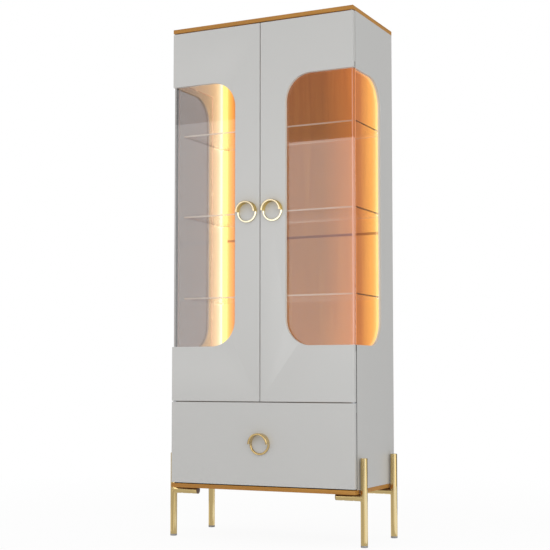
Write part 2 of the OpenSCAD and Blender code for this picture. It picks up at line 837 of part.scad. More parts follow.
door_pivot_bush(-1);  // door_pivot_bush_left
door_strike(-1);  // door_strike_left
door_panel(1);  // door_panel_right
door_glass(1);  // door_glass_right
door_glass_buttons(1);  // door_glass_buttons_right
ring_handle(ring_x, ring_z);  // door_handle_right
handle_screws(ring_x, ring_z, front_t);  // door_handle_screws_right
door_pivot_pin(1);  // door_pivot_pin_right
door_pivot_bush(1);  // door_pivot_bush_right
door_strike(1);  // door_strike_right
drawer_front();
drawer_side(-1);  // drawer_side_left
drawer_side(1);  // drawer_side_right
drawer_inner_front();
drawer_back();
drawer_bottom();
ring_handle(0, drawer_ring_z);  // drawer_handle
handle_screws(0, drawer_ring_z, front_t + box_t);  // drawer_handle_screws
runner_outer_members();
runner_middle_members();
runner_ball_cages();
runner_inner_members();
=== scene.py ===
"""Dressed scene of a glass display cabinet.

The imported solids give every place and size. This script gives each piece its edges and its finish,
adds the small fittings, and sets the studio and the camera. Lengths are metres.
"""

import logging
import math
from dataclasses import dataclass, field, replace
from enum import Enum
from typing import Callable, Iterable, Optional, Sequence, Union

import bmesh
import bpy
from mathutils import Matrix, Vector


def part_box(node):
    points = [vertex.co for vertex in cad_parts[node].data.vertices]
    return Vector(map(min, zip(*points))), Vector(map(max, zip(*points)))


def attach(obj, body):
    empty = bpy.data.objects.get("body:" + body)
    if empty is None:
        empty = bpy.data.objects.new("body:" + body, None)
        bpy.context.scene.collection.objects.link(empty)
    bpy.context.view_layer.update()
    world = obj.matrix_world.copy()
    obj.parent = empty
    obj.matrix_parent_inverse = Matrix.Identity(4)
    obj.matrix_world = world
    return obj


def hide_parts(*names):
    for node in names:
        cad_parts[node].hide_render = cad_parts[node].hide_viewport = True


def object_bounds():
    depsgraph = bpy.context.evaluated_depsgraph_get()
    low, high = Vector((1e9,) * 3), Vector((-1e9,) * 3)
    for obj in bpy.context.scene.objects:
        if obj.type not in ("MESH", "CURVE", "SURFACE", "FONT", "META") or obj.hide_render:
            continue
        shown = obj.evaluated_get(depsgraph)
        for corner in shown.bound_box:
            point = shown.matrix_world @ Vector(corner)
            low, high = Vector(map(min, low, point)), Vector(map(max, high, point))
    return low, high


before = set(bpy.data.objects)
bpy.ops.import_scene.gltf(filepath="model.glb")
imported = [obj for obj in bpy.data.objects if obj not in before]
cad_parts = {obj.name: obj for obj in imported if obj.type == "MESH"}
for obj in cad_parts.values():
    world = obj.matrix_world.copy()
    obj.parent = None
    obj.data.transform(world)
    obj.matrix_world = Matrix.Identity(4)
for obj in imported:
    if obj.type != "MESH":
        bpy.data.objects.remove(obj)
CAD_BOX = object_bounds()
log = logging.getLogger("cabinet")

MM = 0.001
SKIN = 0.01 * MM
MERGE_DISTANCE = 0.002 * MM
SHORTEST_EDGE = 1.5 * MM
FLAT_AREA = 4e-4
FLAT_ANGLE = math.radians(0.5)
SHARP_ANGLE = math.radians(40)
SMOOTH = 20.0
SIDEWAYS = 0.7
OFF_AXIS = 0.9
BLACK = (0.0, 0.0, 0.0)
WHITE = (1.0, 1.0, 1.0)
TO_BACK = (0.0, 1.0, 0.0)
ORIGIN = (0.0, 0.0, 0.0)

Colour = tuple[float, float, float]
Point = tuple[float, float, float]
Pair = tuple[float, float]
Number = Union[float, "Value"]
Socket = bpy.types.NodeSocket
Mesh = bmesh.types.BMesh
Vert = bmesh.types.BMVert
Edge = bmesh.types.BMEdge
Face = bmesh.types.BMFace


class Axis(Enum):
    """An axis of the cabinet: x to the right, y to the back, z upwards."""

    X = 0
    Y = 1
    Z = 2


class Bevel(Enum):
    """What a bevel rounds."""

    EDGES = "EDGES"
    CORNERS = "VERTICES"


class Position(Enum):
    """A position whose name is part of the names of nodes and pieces."""

    def __str__(self) -> str:
        """Returns the name in small letters."""
        return self.name.lower()


class Side(Position):
    """Side of the cabinet, with its direction along x."""

    LEFT = -1
    RIGHT = 1


class Row(Position):
    """Row of legs, counted from the front."""

    FRONT = 0
    REAR = 1


def math_method(operation: str, swapped: bool = False) -> Callable[["Value", Number], "Value"]:
    """Makes a method that adds a Math node.

    Args:
        operation: the node's operation.
        swapped: whether the other number comes first, as in a reflected operator.

    Returns:
        The method, for a value and another number.
    """

    def method(value: "Value", other: Number) -> "Value":
        """Returns the result of the operation."""
        return value.math(operation, *((other, value) if swapped else (value, other)))

    return method


class Value:
    """A number that changes over a surface. Python's operators on it add Math nodes."""

    def __init__(self, nodes: "Nodes", socket: Socket) -> None:
        """Keeps the output socket and the node tree that it belongs to."""
        self.nodes = nodes
        self.socket = socket

    def math(self, operation: str, *values: Number) -> "Value":
        """Adds a Math node of an operation on numbers or values, and returns its result."""
        made = self.nodes.node("ShaderNodeMath", {"operation": operation}, dict(enumerate(values)))
        return Value(self.nodes, made.outputs[0])

    __add__ = __radd__ = math_method("ADD")
    __sub__ = math_method("SUBTRACT")
    __rsub__ = math_method("SUBTRACT", swapped=True)
    __mul__ = __rmul__ = math_method("MULTIPLY")
    __truediv__ = math_method("DIVIDE")
    __pow__ = math_method("POWER")
    __gt__ = math_method("GREATER_THAN")
    __lt__ = math_method("LESS_THAN")
    larger = math_method("MAXIMUM")
    smaller = math_method("MINIMUM")

    def __abs__(self) -> "Value":
        """Returns the value without its sign."""
        return self.math("ABSOLUTE", self)

    def sine(self) -> "Value":
        """Returns the sine of the value in radians."""
        return self.math("SINE", self)

    def fraction(self) -> "Value":
        """Returns what is left above the next lower whole number."""
        return self.math("FRACT", self)

    def clamped(self) -> "Value":
        """Returns the value held between 0 and 1."""
        return self.larger(0.0).smaller(1.0)


class Nodes:
    """The node tree of a material or of the world, under construction."""

    def __init__(self, owner: Union[bpy.types.Material, bpy.types.World]) -> None:
        """Empties the owner's node tree and keeps it.

        Args:
            owner: the material or the world.
        """
        owner.use_nodes = True
        kind = "World" if isinstance(owner, bpy.types.World) else "Material"
        self.end = f"ShaderNodeOutput{kind}"
        self.tree = owner.node_tree
        self.tree.nodes.clear()

    def node(
        self,
        kind: str,
        settings: Optional[dict[str, object]] = None,
        inputs: Optional[dict[Union[str, int], object]] = None,
    ) -> bpy.types.Node:
        """Adds a node.

        Args:
            kind: the node's type.
            settings: its properties; "stops" are a ramp's positions and colours.
            inputs: numbers, colours, values or sockets, by the name or number of the input.

        Returns:
            The node.
        """
        made = self.tree.nodes.new(kind)
        for name, setting in (settings or {}).items():
            if name == "stops":
                self._set_stops(made.color_ramp, setting)
            else:
                setattr(made, name, setting)
        for name, value in (inputs or {}).items():
            socket = made.inputs[name]
            if isinstance(value, Value):
                value = value.socket
            if isinstance(value, Socket):
                self.tree.links.new(value, socket)
            elif socket.type == "RGBA":
                socket.default_value = (*value, 1.0)
            else:
                socket.default_value = value
        return made

    @staticmethod
    def _set_stops(ramp: bpy.types.ColorRamp, stops: Sequence[tuple[float, Colour]]) -> None:
        """Gives a colour ramp its stops.

        Args:
            ramp: the ramp.
            stops: positions with colours.
        """
        while len(ramp.elements) < len(stops):
            ramp.elements.new(1.0)
        for element, (position, colour) in zip(ramp.elements, stops):
            element.position = position
            element.color = (*colour, 1.0)

    def place(self) -> Socket:
        """Returns the object coordinates of the surface, in metres."""
        return self.node("ShaderNodeTexCoord").outputs["Object"]

    def xyz(self) -> list[Value]:
        """Returns the three object coordinates as values."""
        split = self.node("ShaderNodeSeparateXYZ", inputs={0: self.place()})
        return [Value(self, socket) for socket in split.outputs]

    def noise(self, scale: Union[float, Point], detail: float = 2.0, roughness: float = 0.5) -> Value:
        """Adds a noise pattern.

        Args:
            scale: repeats per metre, one number or one for each axis.
            detail: number of finer octaves.
            roughness: weight of the finer octaves.

        Returns:
            The pattern as a value around 0.5.
        """
        scale = scale if isinstance(scale, tuple) else (scale,) * 3
        spread = self.node("ShaderNodeMapping", inputs={"Vector": self.place(), "Scale": scale})
        inputs = {"Vector": spread.outputs[0], "Scale": 1.0, "Detail": detail, "Roughness": roughness}
        return Value(self, self.node("ShaderNodeTexNoise", inputs=inputs).outputs[0])

    def ramp(self, factor: Value, stops: Sequence[tuple[float, Colour]]) -> Socket:
        """Returns the colour that a ramp of the given stops has at the factor."""
        return self.node("ShaderNodeValToRGB", {"stops": stops}, {0: factor}).outputs[0]

    def blend(self, factor: Number, first: object, second: object) -> Socket:
        """Returns the mix of two colours: the first at factor 0, the second at 1."""
        settings = {"data_type": "RGBA", "clamp_factor": True}
        return self.node("ShaderNodeMix", settings, {0: factor, 6: first, 7: second}).outputs[2]

    def shaded(self, pattern: Value, colour: Colour, share: float) -> Socket:
        """Returns a colour that falls to a share of itself where a pattern is low."""
        return self.blend(pattern, tuple(share * level for level in colour), colour)

    def bump(self, height: Value, depth: float, strength: float) -> Socket:
        """Returns the normal of a relief with the given height pattern and depth in metres."""
        inputs = {"Height": height, "Distance": depth, "Strength": strength}
        return self.node("ShaderNodeBump", inputs=inputs).outputs[0]

    def surface(self, **inputs: object) -> Socket:
        """Returns a principled surface; an underscore stands for a space in an input's name."""
        named = {name.replace("_", " "): value for name, value in inputs.items()}
        return self.node("ShaderNodeBsdfPrincipled", inputs=named).outputs[0]

    def emission(self, colour: Colour) -> Socket:
        """Returns a shader that shines in a colour."""
        return self.node("ShaderNodeEmission", inputs={"Color": colour, "Strength": 1.0}).outputs[0]

    def mixed(self, factor: Value, first: Socket, second: Socket) -> Socket:
        """Returns the mix of two shaders: the first at factor 0, the second at 1."""
        return self.node("ShaderNodeMixShader", inputs={0: factor, 1: first, 2: second}).outputs[0]

    def output(self, shader: Socket) -> None:
        """Sends a shader to the output."""
        self.node(self.end, inputs={"Surface": shader})


def stretched(axis: Axis, along: float, across: float) -> Point:
    """Returns pattern repeats per metre: few along an axis and many across it."""
    return tuple(along if number == axis.value else across for number in range(3))


@dataclass(frozen=True)
class CornerGlow:
    """Painted light: emission colour on surfaces that stands in for the warm light that the two lit rear
    corners throw round them, the right one further than the left.
    """

    near: Colour
    middle: Colour
    far: Colour
    rest: Colour
    strength: float = 2.0
    reach: float = 0.24
    lean: float = 0.5
    rebate: float = 4.6 * MM
    fade: float = 0.1 * MM
    skin: float = 0.5 * MM
    steps: tuple[float, ...] = (0.085, 0.165, 0.315, 0.52, 1.0)
    soft_share: float = 0.45

    def add(self, nodes: Nodes) -> Socket:
        """Builds the painted light, which fades with the distance from the corner lines.

        Args:
            nodes: the node tree of the material.

        Returns:
            The emission colour.
        """
        corner_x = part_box("side_panel_right")[0].x
        corner_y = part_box("back_panel_upper")[0].y
        floor_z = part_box("divider_panel")[1].z
        top_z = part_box("top_panel")[0].z
        front_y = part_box("door_panel_left")[1].y
        x, y, z = nodes.xyz()
        aside = corner_x - abs(x)
        ahead = corner_y - y
        distance = (aside * aside + ahead * ahead) ** 0.5 * (1.0 - x * (self.lean / corner_x))
        share = self.soft_share
        soft = tuple(share * far + (1.0 - share) * rest for far, rest in zip(self.far, self.rest))
        stops = list(zip(self.steps, (self.near, self.middle, self.far, soft, self.rest)))
        lit = nodes.ramp(distance / self.reach, stops)
        inside = ((aside + self.rebate + self.fade) / self.fade).clamped() * (ahead > -self.skin)
        inside = inside * (z > floor_z - self.skin) * (z < top_z + self.skin) * (y > front_y)
        return nodes.blend(inside, BLACK, lit)


@dataclass(frozen=True)
class Finish:
    """A surface finish with its material slot of the record, and the painted light on it where it glows."""

    name: str
    slot: str
    glow: Optional[CornerGlow] = field(default=None, kw_only=True)

    def paint(self, nodes: Nodes) -> Socket:
        """Builds the nodes of the finish and returns its shader."""
        raise NotImplementedError

    def coat(self, nodes: Nodes, **inputs: object) -> Socket:
        """Builds a principled surface with the painted glow of the finish.

        Args:
            nodes: the node tree of the material.
            inputs: the other inputs of the surface, by name.

        Returns:
            The shader.
        """
        if self.glow:
            inputs |= {"Emission_Color": self.glow.add(nodes), "Emission_Strength": self.glow.strength}
        return nodes.surface(**inputs)

    def material(self) -> bpy.types.Material:
        """Makes the material of the finish, once.

        Returns:
            The material.
        """
        made = bpy.data.materials.get(self.name)
        if made is None:
            made = bpy.data.materials.new(self.name)
            nodes = Nodes(made)
            nodes.output(self.paint(nodes))
        return made


@dataclass(frozen=True)
class Lacquer(Finish):
    """Satin lacquer on smooth board, with the faint relief of a sprayed coat."""

    colour: Colour = (0.545, 0.538, 0.522)
    roughness: float = 0.33
    dull: float = 0.965
    cloud_scale: Point = (2.2, 2.2, 1.4)
    cloud_gloss: float = 0.06
    spray_scale: float = 420
    spray_gloss: float = 0.05
    spray_depth: float = 0.02 * MM
    spray_strength: float = 0.35

    def paint(self, nodes: Nodes) -> Socket:
        """Builds the lacquer.

        Args:
            nodes: the node tree of the material.

        Returns:
            The shader.
        """
        cloud = nodes.noise(self.cloud_scale)
        spray = nodes.noise(self.spray_scale)
        return self.coat(
            nodes,
            Base_Color=nodes.shaded(cloud, self.colour, self.dull),
            Roughness=self.roughness + self.cloud_gloss * (cloud - 0.5) + self.spray_gloss * (spray - 0.5),
            Normal=nodes.bump(spray, self.spray_depth, self.spray_strength),
        )


@dataclass(frozen=True)
class Timber(Finish):
    """Amber oak face with streaks, growth figure and open pores along the grain."""

    grain: Axis = Axis.X
    dark: Colour = (0.320, 0.132, 0.020)
    middle: Colour = (0.440, 0.196, 0.030)
    light: Colour = (0.550, 0.280, 0.058)
    steps: tuple[float, float, float] = (0.22, 0.5, 0.8)
    roughness: float = 0.46
    specular: float = 0.25
    figure_scale: Pair = (0.9, 14)
    figure_tone: float = 0.55
    rings: float = 34.0
    ring_tone: float = 0.07
    streak_scale: Pair = (3.0, 150)
    streak_tone: float = 0.34
    streak_gloss: float = 0.12
    streak_height: float = 0.4
    pore_scale: Pair = (26, 900)
    pore_limit: float = 0.60
    pore_gain: float = 5.0
    pore_tone: float = 0.8
    pore_gloss: float = 0.25
    depth: float = 0.12 * MM
    strength: float = 0.6

    def paint(self, nodes: Nodes) -> Socket:
        """Builds the timber.

        Args:
            nodes: the node tree of the material.

        Returns:
            The shader.
        """
        figure = nodes.noise(stretched(self.grain, *self.figure_scale), 3.0, 0.55)
        streak = nodes.noise(stretched(self.grain, *self.streak_scale), 4.0, 0.6)
        pore = nodes.noise(stretched(self.grain, *self.pore_scale))
        rings = (figure * self.rings).sine()
        tone = 0.5 + self.streak_tone * (streak - 0.5) + self.figure_tone * (figure - 0.5)
        tone += self.ring_tone * rings
        pores = (pore - self.pore_limit).larger(0.0) * self.pore_gain
        stops = list(zip(self.steps, (self.dark, self.middle, self.light)))
        return self.coat(
            nodes,
            Base_Color=nodes.blend(pores * self.pore_tone, nodes.ramp(tone, stops), self.dark),
            Roughness=self.roughness + self.streak_gloss * (streak - 0.5) + self.pore_gloss * pores,
            Specular_IOR_Level=self.specular,
            Normal=nodes.bump(streak * self.streak_height - pores, self.depth, self.strength),
        )


@dataclass(frozen=True)
class Laminate(Finish):
    """Light grey laminated board with a fine linen relief, as used inside."""

    colour: Colour = (0.50, 0.49, 0.47)
    roughness: float = 0.46
    dull: float = 0.93
    warp_scale: Point = (900, 40, 900)
    weft_scale: Point = (40, 900, 40)
    weave_gloss: float = 0.08
    weave_depth: float = 0.04 * MM
    weave_strength: float = 0.4

    def paint(self, nodes: Nodes) -> Socket:
        """Builds the laminate.

        Args:
            nodes: the node tree of the material.

        Returns:
            The shader.
        """
        weave = nodes.noise(self.warp_scale, 1.0) + nodes.noise(self.weft_scale, 1.0)
        return self.coat(
            nodes,
            Base_Color=nodes.shaded(weave * 0.5, self.colour, self.dull),
            Roughness=self.roughness + self.weave_gloss * (weave - 1.0),
            Normal=nodes.bump(weave, self.weave_depth, self.weave_strength),
        )


@dataclass(frozen=True)
class Glass(Finish):
    """Faintly bronze-grey glass: the tint of one face, and a clear gloss that grows at grazing angles."""

    tint: Colour = (0.76, 0.75, 0.745)
    normal_gloss: float = 0.04
    gloss_power: float = 5.0

    def paint(self, nodes: Nodes) -> Socket:
        """Builds the glass.

        Args:
            nodes: the node tree of the material.

        Returns:
            The shader.
        """
        facing = Value(nodes, nodes.node("ShaderNodeLayerWeight", inputs={"Blend": 0.5}).outputs["Facing"])
        gloss = self.normal_gloss + (1.0 - self.normal_gloss) * facing**self.gloss_power
        clear = nodes.node("ShaderNodeBsdfTransparent", inputs={"Color": self.tint})
        shine = nodes.node("ShaderNodeBsdfGlossy", inputs={"Color": WHITE, "Roughness": 0.0})
        return nodes.mixed(gloss, clear.outputs[0], shine.outputs[0])


@dataclass(frozen=True)
class GlassEdge(Finish):
    """Ground and polished rim of the glass, denser than its faces."""

    colour: Colour = (0.82, 0.66, 0.58)
    alpha: float = 0.72
    roughness: float = 0.14
    dull: float = 0.8
    ground_scale: float = 700
    ground_gloss: float = 0.2
    ground_level: float = 0.4

    def paint(self, nodes: Nodes) -> Socket:
        """Builds the rim.

        Args:
            nodes: the node tree of the material.

        Returns:
            The shader.
        """
        ground = nodes.noise(self.ground_scale)
        return self.coat(
            nodes,
            Base_Color=nodes.shaded(ground, self.colour, self.dull),
            Roughness=self.roughness + self.ground_gloss * (ground - self.ground_level),
            Alpha=self.alpha,
        )


@dataclass(frozen=True)
class Metal(Finish):
    """Plated, zinc-coated or anodised metal, with drawing marks along one axis."""

    colour: Colour = (0.62, 0.62, 0.63)
    roughness: float = 0.30
    marks: Axis = Axis.Z
    dull: float = 0.94
    grazing: Colour = WHITE
    cloud_scale: float = 30
    cloud_gloss: float = 0.06
    mark_scale: Pair = (6, 700)
    mark_gloss: float = 0.05
    mark_depth: float = 0.01 * MM
    mark_strength: float = 0.5

    def paint(self, nodes: Nodes) -> Socket:
        """Builds the metal.

        Args:
            nodes: the node tree of the material.

        Returns:
            The shader.
        """
        drawn = nodes.noise(stretched(self.marks, *self.mark_scale))
        cloud = nodes.noise(self.cloud_scale, 3.0)
        return self.coat(
            nodes,
            Base_Color=nodes.shaded(cloud, self.colour, self.dull),
            Metallic=1.0,
            Specular_Tint=self.grazing,
            Roughness=self.roughness + self.cloud_gloss * (cloud - 0.5) + self.mark_gloss * (drawn - 0.5),
            Normal=nodes.bump(drawn, self.mark_depth, self.mark_strength),
        )


@dataclass(frozen=True)
class Moulding(Finish):
    """Moulded plastic with a fine spark-eroded grain."""

    colour: Colour = (0.05, 0.047, 0.043)
    roughness: float = 0.45
    dull: float = 0.85
    cloud_scale: float = 60
    grain_scale: float = 1500
    grain_gloss: float = 0.12
    grain_depth: float = 0.03 * MM
    grain_strength: float = 0.4

    def paint(self, nodes: Nodes) -> Socket:
        """Builds the plastic.

        Args:
            nodes: the node tree of the material.

        Returns:
            The shader.
        """
        grain = nodes.noise(self.grain_scale)
        cloud = nodes.noise(self.cloud_scale)
        return self.coat(
            nodes,
            Base_Color=nodes.shaded(cloud, self.colour, self.dull),
            Roughness=self.roughness + self.grain_gloss * (grain - 0.5),
            Normal=nodes.bump(grain, self.grain_depth, self.grain_strength),
        )


@dataclass(frozen=True)
class LitOpal(Finish):
    """Opal cover lit from behind, a little brighter in front of each lamp of the tape."""

    colour: Colour = (1.0, 0.87, 0.28)
    roughness: float = 0.35
    dull: float = 0.9
    strength: float = 1.7
    pitch: float = 1 / 60

    def paint(self, nodes: Nodes) -> Socket:
        """Builds the opal cover.

        Args:
            nodes: the node tree of the material.

        Returns:
            The shader.
        """
        wave = (nodes.xyz()[2] * (2 * math.pi / self.pitch)).sine()
        return nodes.surface(
            Base_Color=self.colour,
            Roughness=self.roughness,
            Emission_Color=nodes.shaded(0.5 + 0.5 * wave, self.colour, self.dull),
            Emission_Strength=self.strength,
        )


@dataclass(frozen=True)
class LampTape(Finish):
    """White circuit tape with a yellow lamp at every step."""

    tape_colour: Colour = (0.82, 0.81, 0.78)
    lamp_colour: Colour = (0.95, 0.72, 0.12)
    tape_light: Colour = (0.10, 0.08, 0.04)
    lamp_light: Colour = (1.0, 0.84, 0.50)
    roughness: float = 0.42
    lamp_gloss: float = 0.2
    strength: float = 2.0
    pitch: float = 1 / 60
    lamp_share: float = 0.3

    def paint(self, nodes: Nodes) -> Socket:
        """Builds the tape.

        Args:
            nodes: the node tree of the material.

        Returns:
            The shader.
        """
        lamp = (nodes.xyz()[2] / self.pitch).fraction() < self.lamp_share
        return nodes.surface(
            Base_Color=nodes.blend(lamp, self.tape_colour, self.lamp_colour),
            Roughness=self.roughness - self.lamp_gloss * lamp,
            Emission_Color=nodes.blend(lamp, self.tape_light, self.lamp_light),
            Emission_Strength=self.strength,
        )


# Painted light: each glow is emission colour on a surface that is no lamp. It stands in for the light of the
# lit rear corners, and its rest colour stands in for the room's light inside the case.
GLOW_ON_TIMBER = CornerGlow(
    near=(1.0, 0.74, 0.20), middle=(0.96, 0.44, 0.09), far=(0.46, 0.145, 0.042), rest=(0.148, 0.066, 0.034)
)
GLOW_ON_LIGHT = CornerGlow(
    near=(0.78, 0.76, 0.65), middle=(0.67, 0.55, 0.33), far=(0.50, 0.36, 0.20), rest=(0.24, 0.20, 0.16),
    reach=0.42,
)
GLOW_ON_REBATE = replace(GLOW_ON_LIGHT, near=(0.70, 0.64, 0.38), strength=2.9, rebate=6.0 * MM)
GLOW_ON_REVEAL = CornerGlow(
    near=(0.74, 0.68, 0.60), middle=(0.66, 0.60, 0.52), far=(0.32, 0.22, 0.06), rest=(0.10, 0.05, 0.02),
    reach=0.36, lean=-0.5, rebate=2.0 * MM, fade=14.0 * MM,
)
GLOW_ON_STRIP = CornerGlow(
    near=(0.54, 0.24, 0.04), middle=(0.34, 0.11, 0.015), far=(0.13, 0.016, 0.003), rest=(0.06, 0.01, 0.003),
    reach=0.36,
)
GLOW_ON_RIM = CornerGlow(
    near=(0.96, 0.76, 0.52), middle=(0.90, 0.66, 0.46), far=(0.53, 0.163, 0.088), rest=(0.02, 0.02, 0.02),
    reach=0.60, rebate=8.0 * MM,
)
GLOW_ON_LIP = CornerGlow(
    near=(0.90, 0.40, 0.12), middle=(0.80, 0.30, 0.09), far=(0.68, 0.22, 0.06), rest=BLACK,
    reach=0.48, rebate=20.0 * MM,
)
# Painted highlight: the shelf rims keep a pale glow even far from the corners.
GLOW_ON_SHELF_RIM = CornerGlow(
    near=(0.70, 0.40, 0.16), middle=(0.42, 0.17, 0.05), far=(0.26, 0.10, 0.03), rest=(0.38, 0.34, 0.30),
    reach=0.42,
)
LACQUER = Lacquer("satin_lacquer", "lacquer")
# Lit copies of the lacquer: the same colour with painted light from the corners.
SIDE_LACQUER = Lacquer("satin_lacquer_lit_inside", "lacquer", glow=GLOW_ON_LIGHT)
REBATE_LACQUER = Lacquer("satin_lacquer_lit_rebate", "lacquer", glow=GLOW_ON_REBATE)
REVEAL_LACQUER = Lacquer("satin_lacquer_lit_reveal", "lacquer", glow=GLOW_ON_REVEAL)
# The oak of the top, base and back boards and the joint strip carry painted light inside the case.
TIMBER_WIDE = Timber("amber_oak_wide", "timber", Axis.X, glow=GLOW_ON_TIMBER)
TIMBER_DEEP = Timber("amber_oak_deep", "timber", Axis.Y)
TIMBER_BACK = Timber("amber_oak_back", "timber", Axis.Z, glow=GLOW_ON_TIMBER)
# Painted shade: the underside of the base board is dark timber, as if in its own shadow.
UNDERSIDE_OAK_PAINTED_SHADE = Timber(
    "brown_oak_under", "timber", Axis.X,
    dark=(0.11, 0.042, 0.010), middle=(0.16, 0.060, 0.014), light=(0.20, 0.08, 0.02),
)
STRIP = Timber(
    "brown_joint_strip", "dark_plastic", Axis.X,
    dark=(0.16, 0.055, 0.018), middle=(0.21, 0.075, 0.025), light=(0.26, 0.10, 0.035),
    roughness=0.4, glow=GLOW_ON_STRIP,
)
# The laminate carries painted light where it lies inside the case.
INSIDE = Laminate("light_laminate", "inside", glow=GLOW_ON_LIGHT)
GLASS = Glass("bronze_tint_glass", "pane")
SHELF_GLASS = Glass("shelf_glass", "pane", tint=(0.975, 0.97, 0.965))
DOOR_RIM = GlassEdge("dark_glass_rim", "pane", (0.20, 0.17, 0.15), alpha=0.95)
PANE_RIM = GlassEdge("lit_glass_rim", "pane", (0.80, 0.66, 0.60), alpha=0.72, glow=GLOW_ON_RIM)
SHELF_RIM = GlassEdge("lit_shelf_rim", "pane", (0.80, 0.72, 0.64), alpha=0.55, glow=GLOW_ON_SHELF_RIM)
SHELF_SIDE_RIM = GlassEdge("amber_shelf_rim", "pane", (0.30, 0.095, 0.012), alpha=0.75)
# Painted shade and light: the lip's dark tint stands in for shade in the gap behind the door, and its glow
# stands in for the corner light.
LIP = GlassEdge("clear_dust_lip", "pane", (0.10, 0.095, 0.09), alpha=0.5, glow=GLOW_ON_LIP)
GOLD_TUBE = Metal(
    "champagne_gold_tube", "gold", (0.68, 0.51, 0.23), 0.12, Axis.Z, dull=0.96, mark_depth=0.004 * MM
)
# The ring handles wear lit and shaded copies of one gold: a whiter one as painted highlight on the fronts, a
# brighter one as painted reflection on the walls of the upper band, and duller ones as painted shade on its
# crest and on the drawer ring.
RING_GOLD_PAINTED_HIGHLIGHT = Metal("champagne_gold_ring", "gold", (0.83, 0.76, 0.56), 0.14, Axis.Y, dull=0.97)
BAND_GOLD_PAINTED_REFLECTION = Metal(
    "champagne_gold_band", "gold", (0.98, 0.76, 0.34), 0.24, Axis.Y, dull=0.95, grazing=(0.60, 0.55, 0.40)
)
CREST_GOLD_PAINTED_SHADE = Metal("champagne_gold_crest", "gold", (0.64, 0.53, 0.35), 0.16, Axis.Y, dull=0.97)
DRAWER_GOLD_PAINTED_SHADE = Metal("champagne_gold_low", "gold", (0.60, 0.43, 0.19), 0.13, Axis.Y, dull=0.92)
DRAWER_BAND_GOLD_PAINTED_LIGHT_SHADE = Metal("champagne_gold_low_band", "gold", (0.74, 0.57, 0.30), 0.20, Axis.Y, dull=0.95)
ZINC = Metal("zinc_plated_steel", "steel", (0.60, 0.61, 0.63), 0.30, Axis.Z, dull=0.86)
# Painted light: the shelf grips and the side pane's screws glow with the corner light, so they read pale
# against the lit boards.
GRIP_ZINC = Metal("satin_zinc_grip", "steel", (0.70, 0.69, 0.66), 0.42, Axis.Z, dull=0.90, glow=GLOW_ON_LIGHT)
RUNNER_STEEL = Metal("rolled_runner_steel", "steel", (0.56, 0.57, 0.59), 0.28, Axis.Y, dull=0.90)
ALUMINIUM = Metal("extruded_aluminium", "light_metal", (0.78, 0.78, 0.79), 0.34, Axis.Z)
NYLON = Moulding("natural_nylon", "nylon", (0.66, 0.63, 0.57), 0.42)
LIT_NYLON = replace(NYLON, name="lit_natural_nylon", glow=GLOW_ON_LIGHT)
DARK_PLASTIC = Moulding("dark_plastic", "dark_plastic", (0.055, 0.05, 0.046), 0.45)
BRONZE_PLASTIC = Moulding("dark_bronze_plastic", "dark_plastic", (0.12, 0.052, 0.008), 0.6)
# Painted shade: near-black lacquer on the front edges of the side boards, below the windows, stands in for
# the shadow in the gap behind the doors.
DOOR_GAP_SHADE = Moulding("dark_edge_band", "lacquer", (0.028, 0.026, 0.024), 0.6)
GLIDE_GREY = Moulding("grey_glide", "dark_plastic", (0.34, 0.335, 0.33), 0.5)
OPAL = LitOpal("lit_opal_cover", "opal")
TAPE = LampTape("lamp_tape", "opal")


def mesh_data(name: str, mesh: Mesh, materials: Iterable[bpy.types.Material]) -> bpy.types.Mesh:
    """Turns a finished mesh into mesh data.

    Args:
        name: name of the data.
        mesh: the mesh, which is freed.
        materials: its materials in order.

    Returns:
        The data.
    """
    data = bpy.data.meshes.new(name)
    mesh.to_mesh(data)
    mesh.free()
    for material in materials:
        data.materials.append(material)
    return data


def add_object(name: str, data: bpy.types.ID) -> bpy.types.Object:
    """Puts an object in the scene.

    Args:
        name: name of the object.
        data: its mesh, lamp or camera data.

    Returns:
        The object.
    """
    made = bpy.data.objects.new(name, data)
    bpy.context.scene.collection.objects.link(made)
    return made


def add_solid(mesh: Mesh, node: str) -> None:
    """Adds a solid to a mesh, with its loose triangles joined."""
    mesh.from_mesh(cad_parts[node].data)
    bmesh.ops.remove_doubles(mesh, verts=mesh.verts[:], dist=MERGE_DISTANCE)


def edges_of(verts: Iterable[Vert]) -> set[Edge]:
    """Returns the edges that meet at some vertices."""
    return {joint for vert in verts for joint in vert.link_edges}


def faces_of(verts: Iterable[Vert]) -> set[Face]:
    """Returns the faces that meet at some vertices."""
    return {face for vert in verts for face in vert.link_faces}


def open_edges(edges: Iterable[Edge]) -> list[Edge]:
    """Returns the edges that have a face on one side only."""
    return [joint for joint in edges if joint.is_boundary]


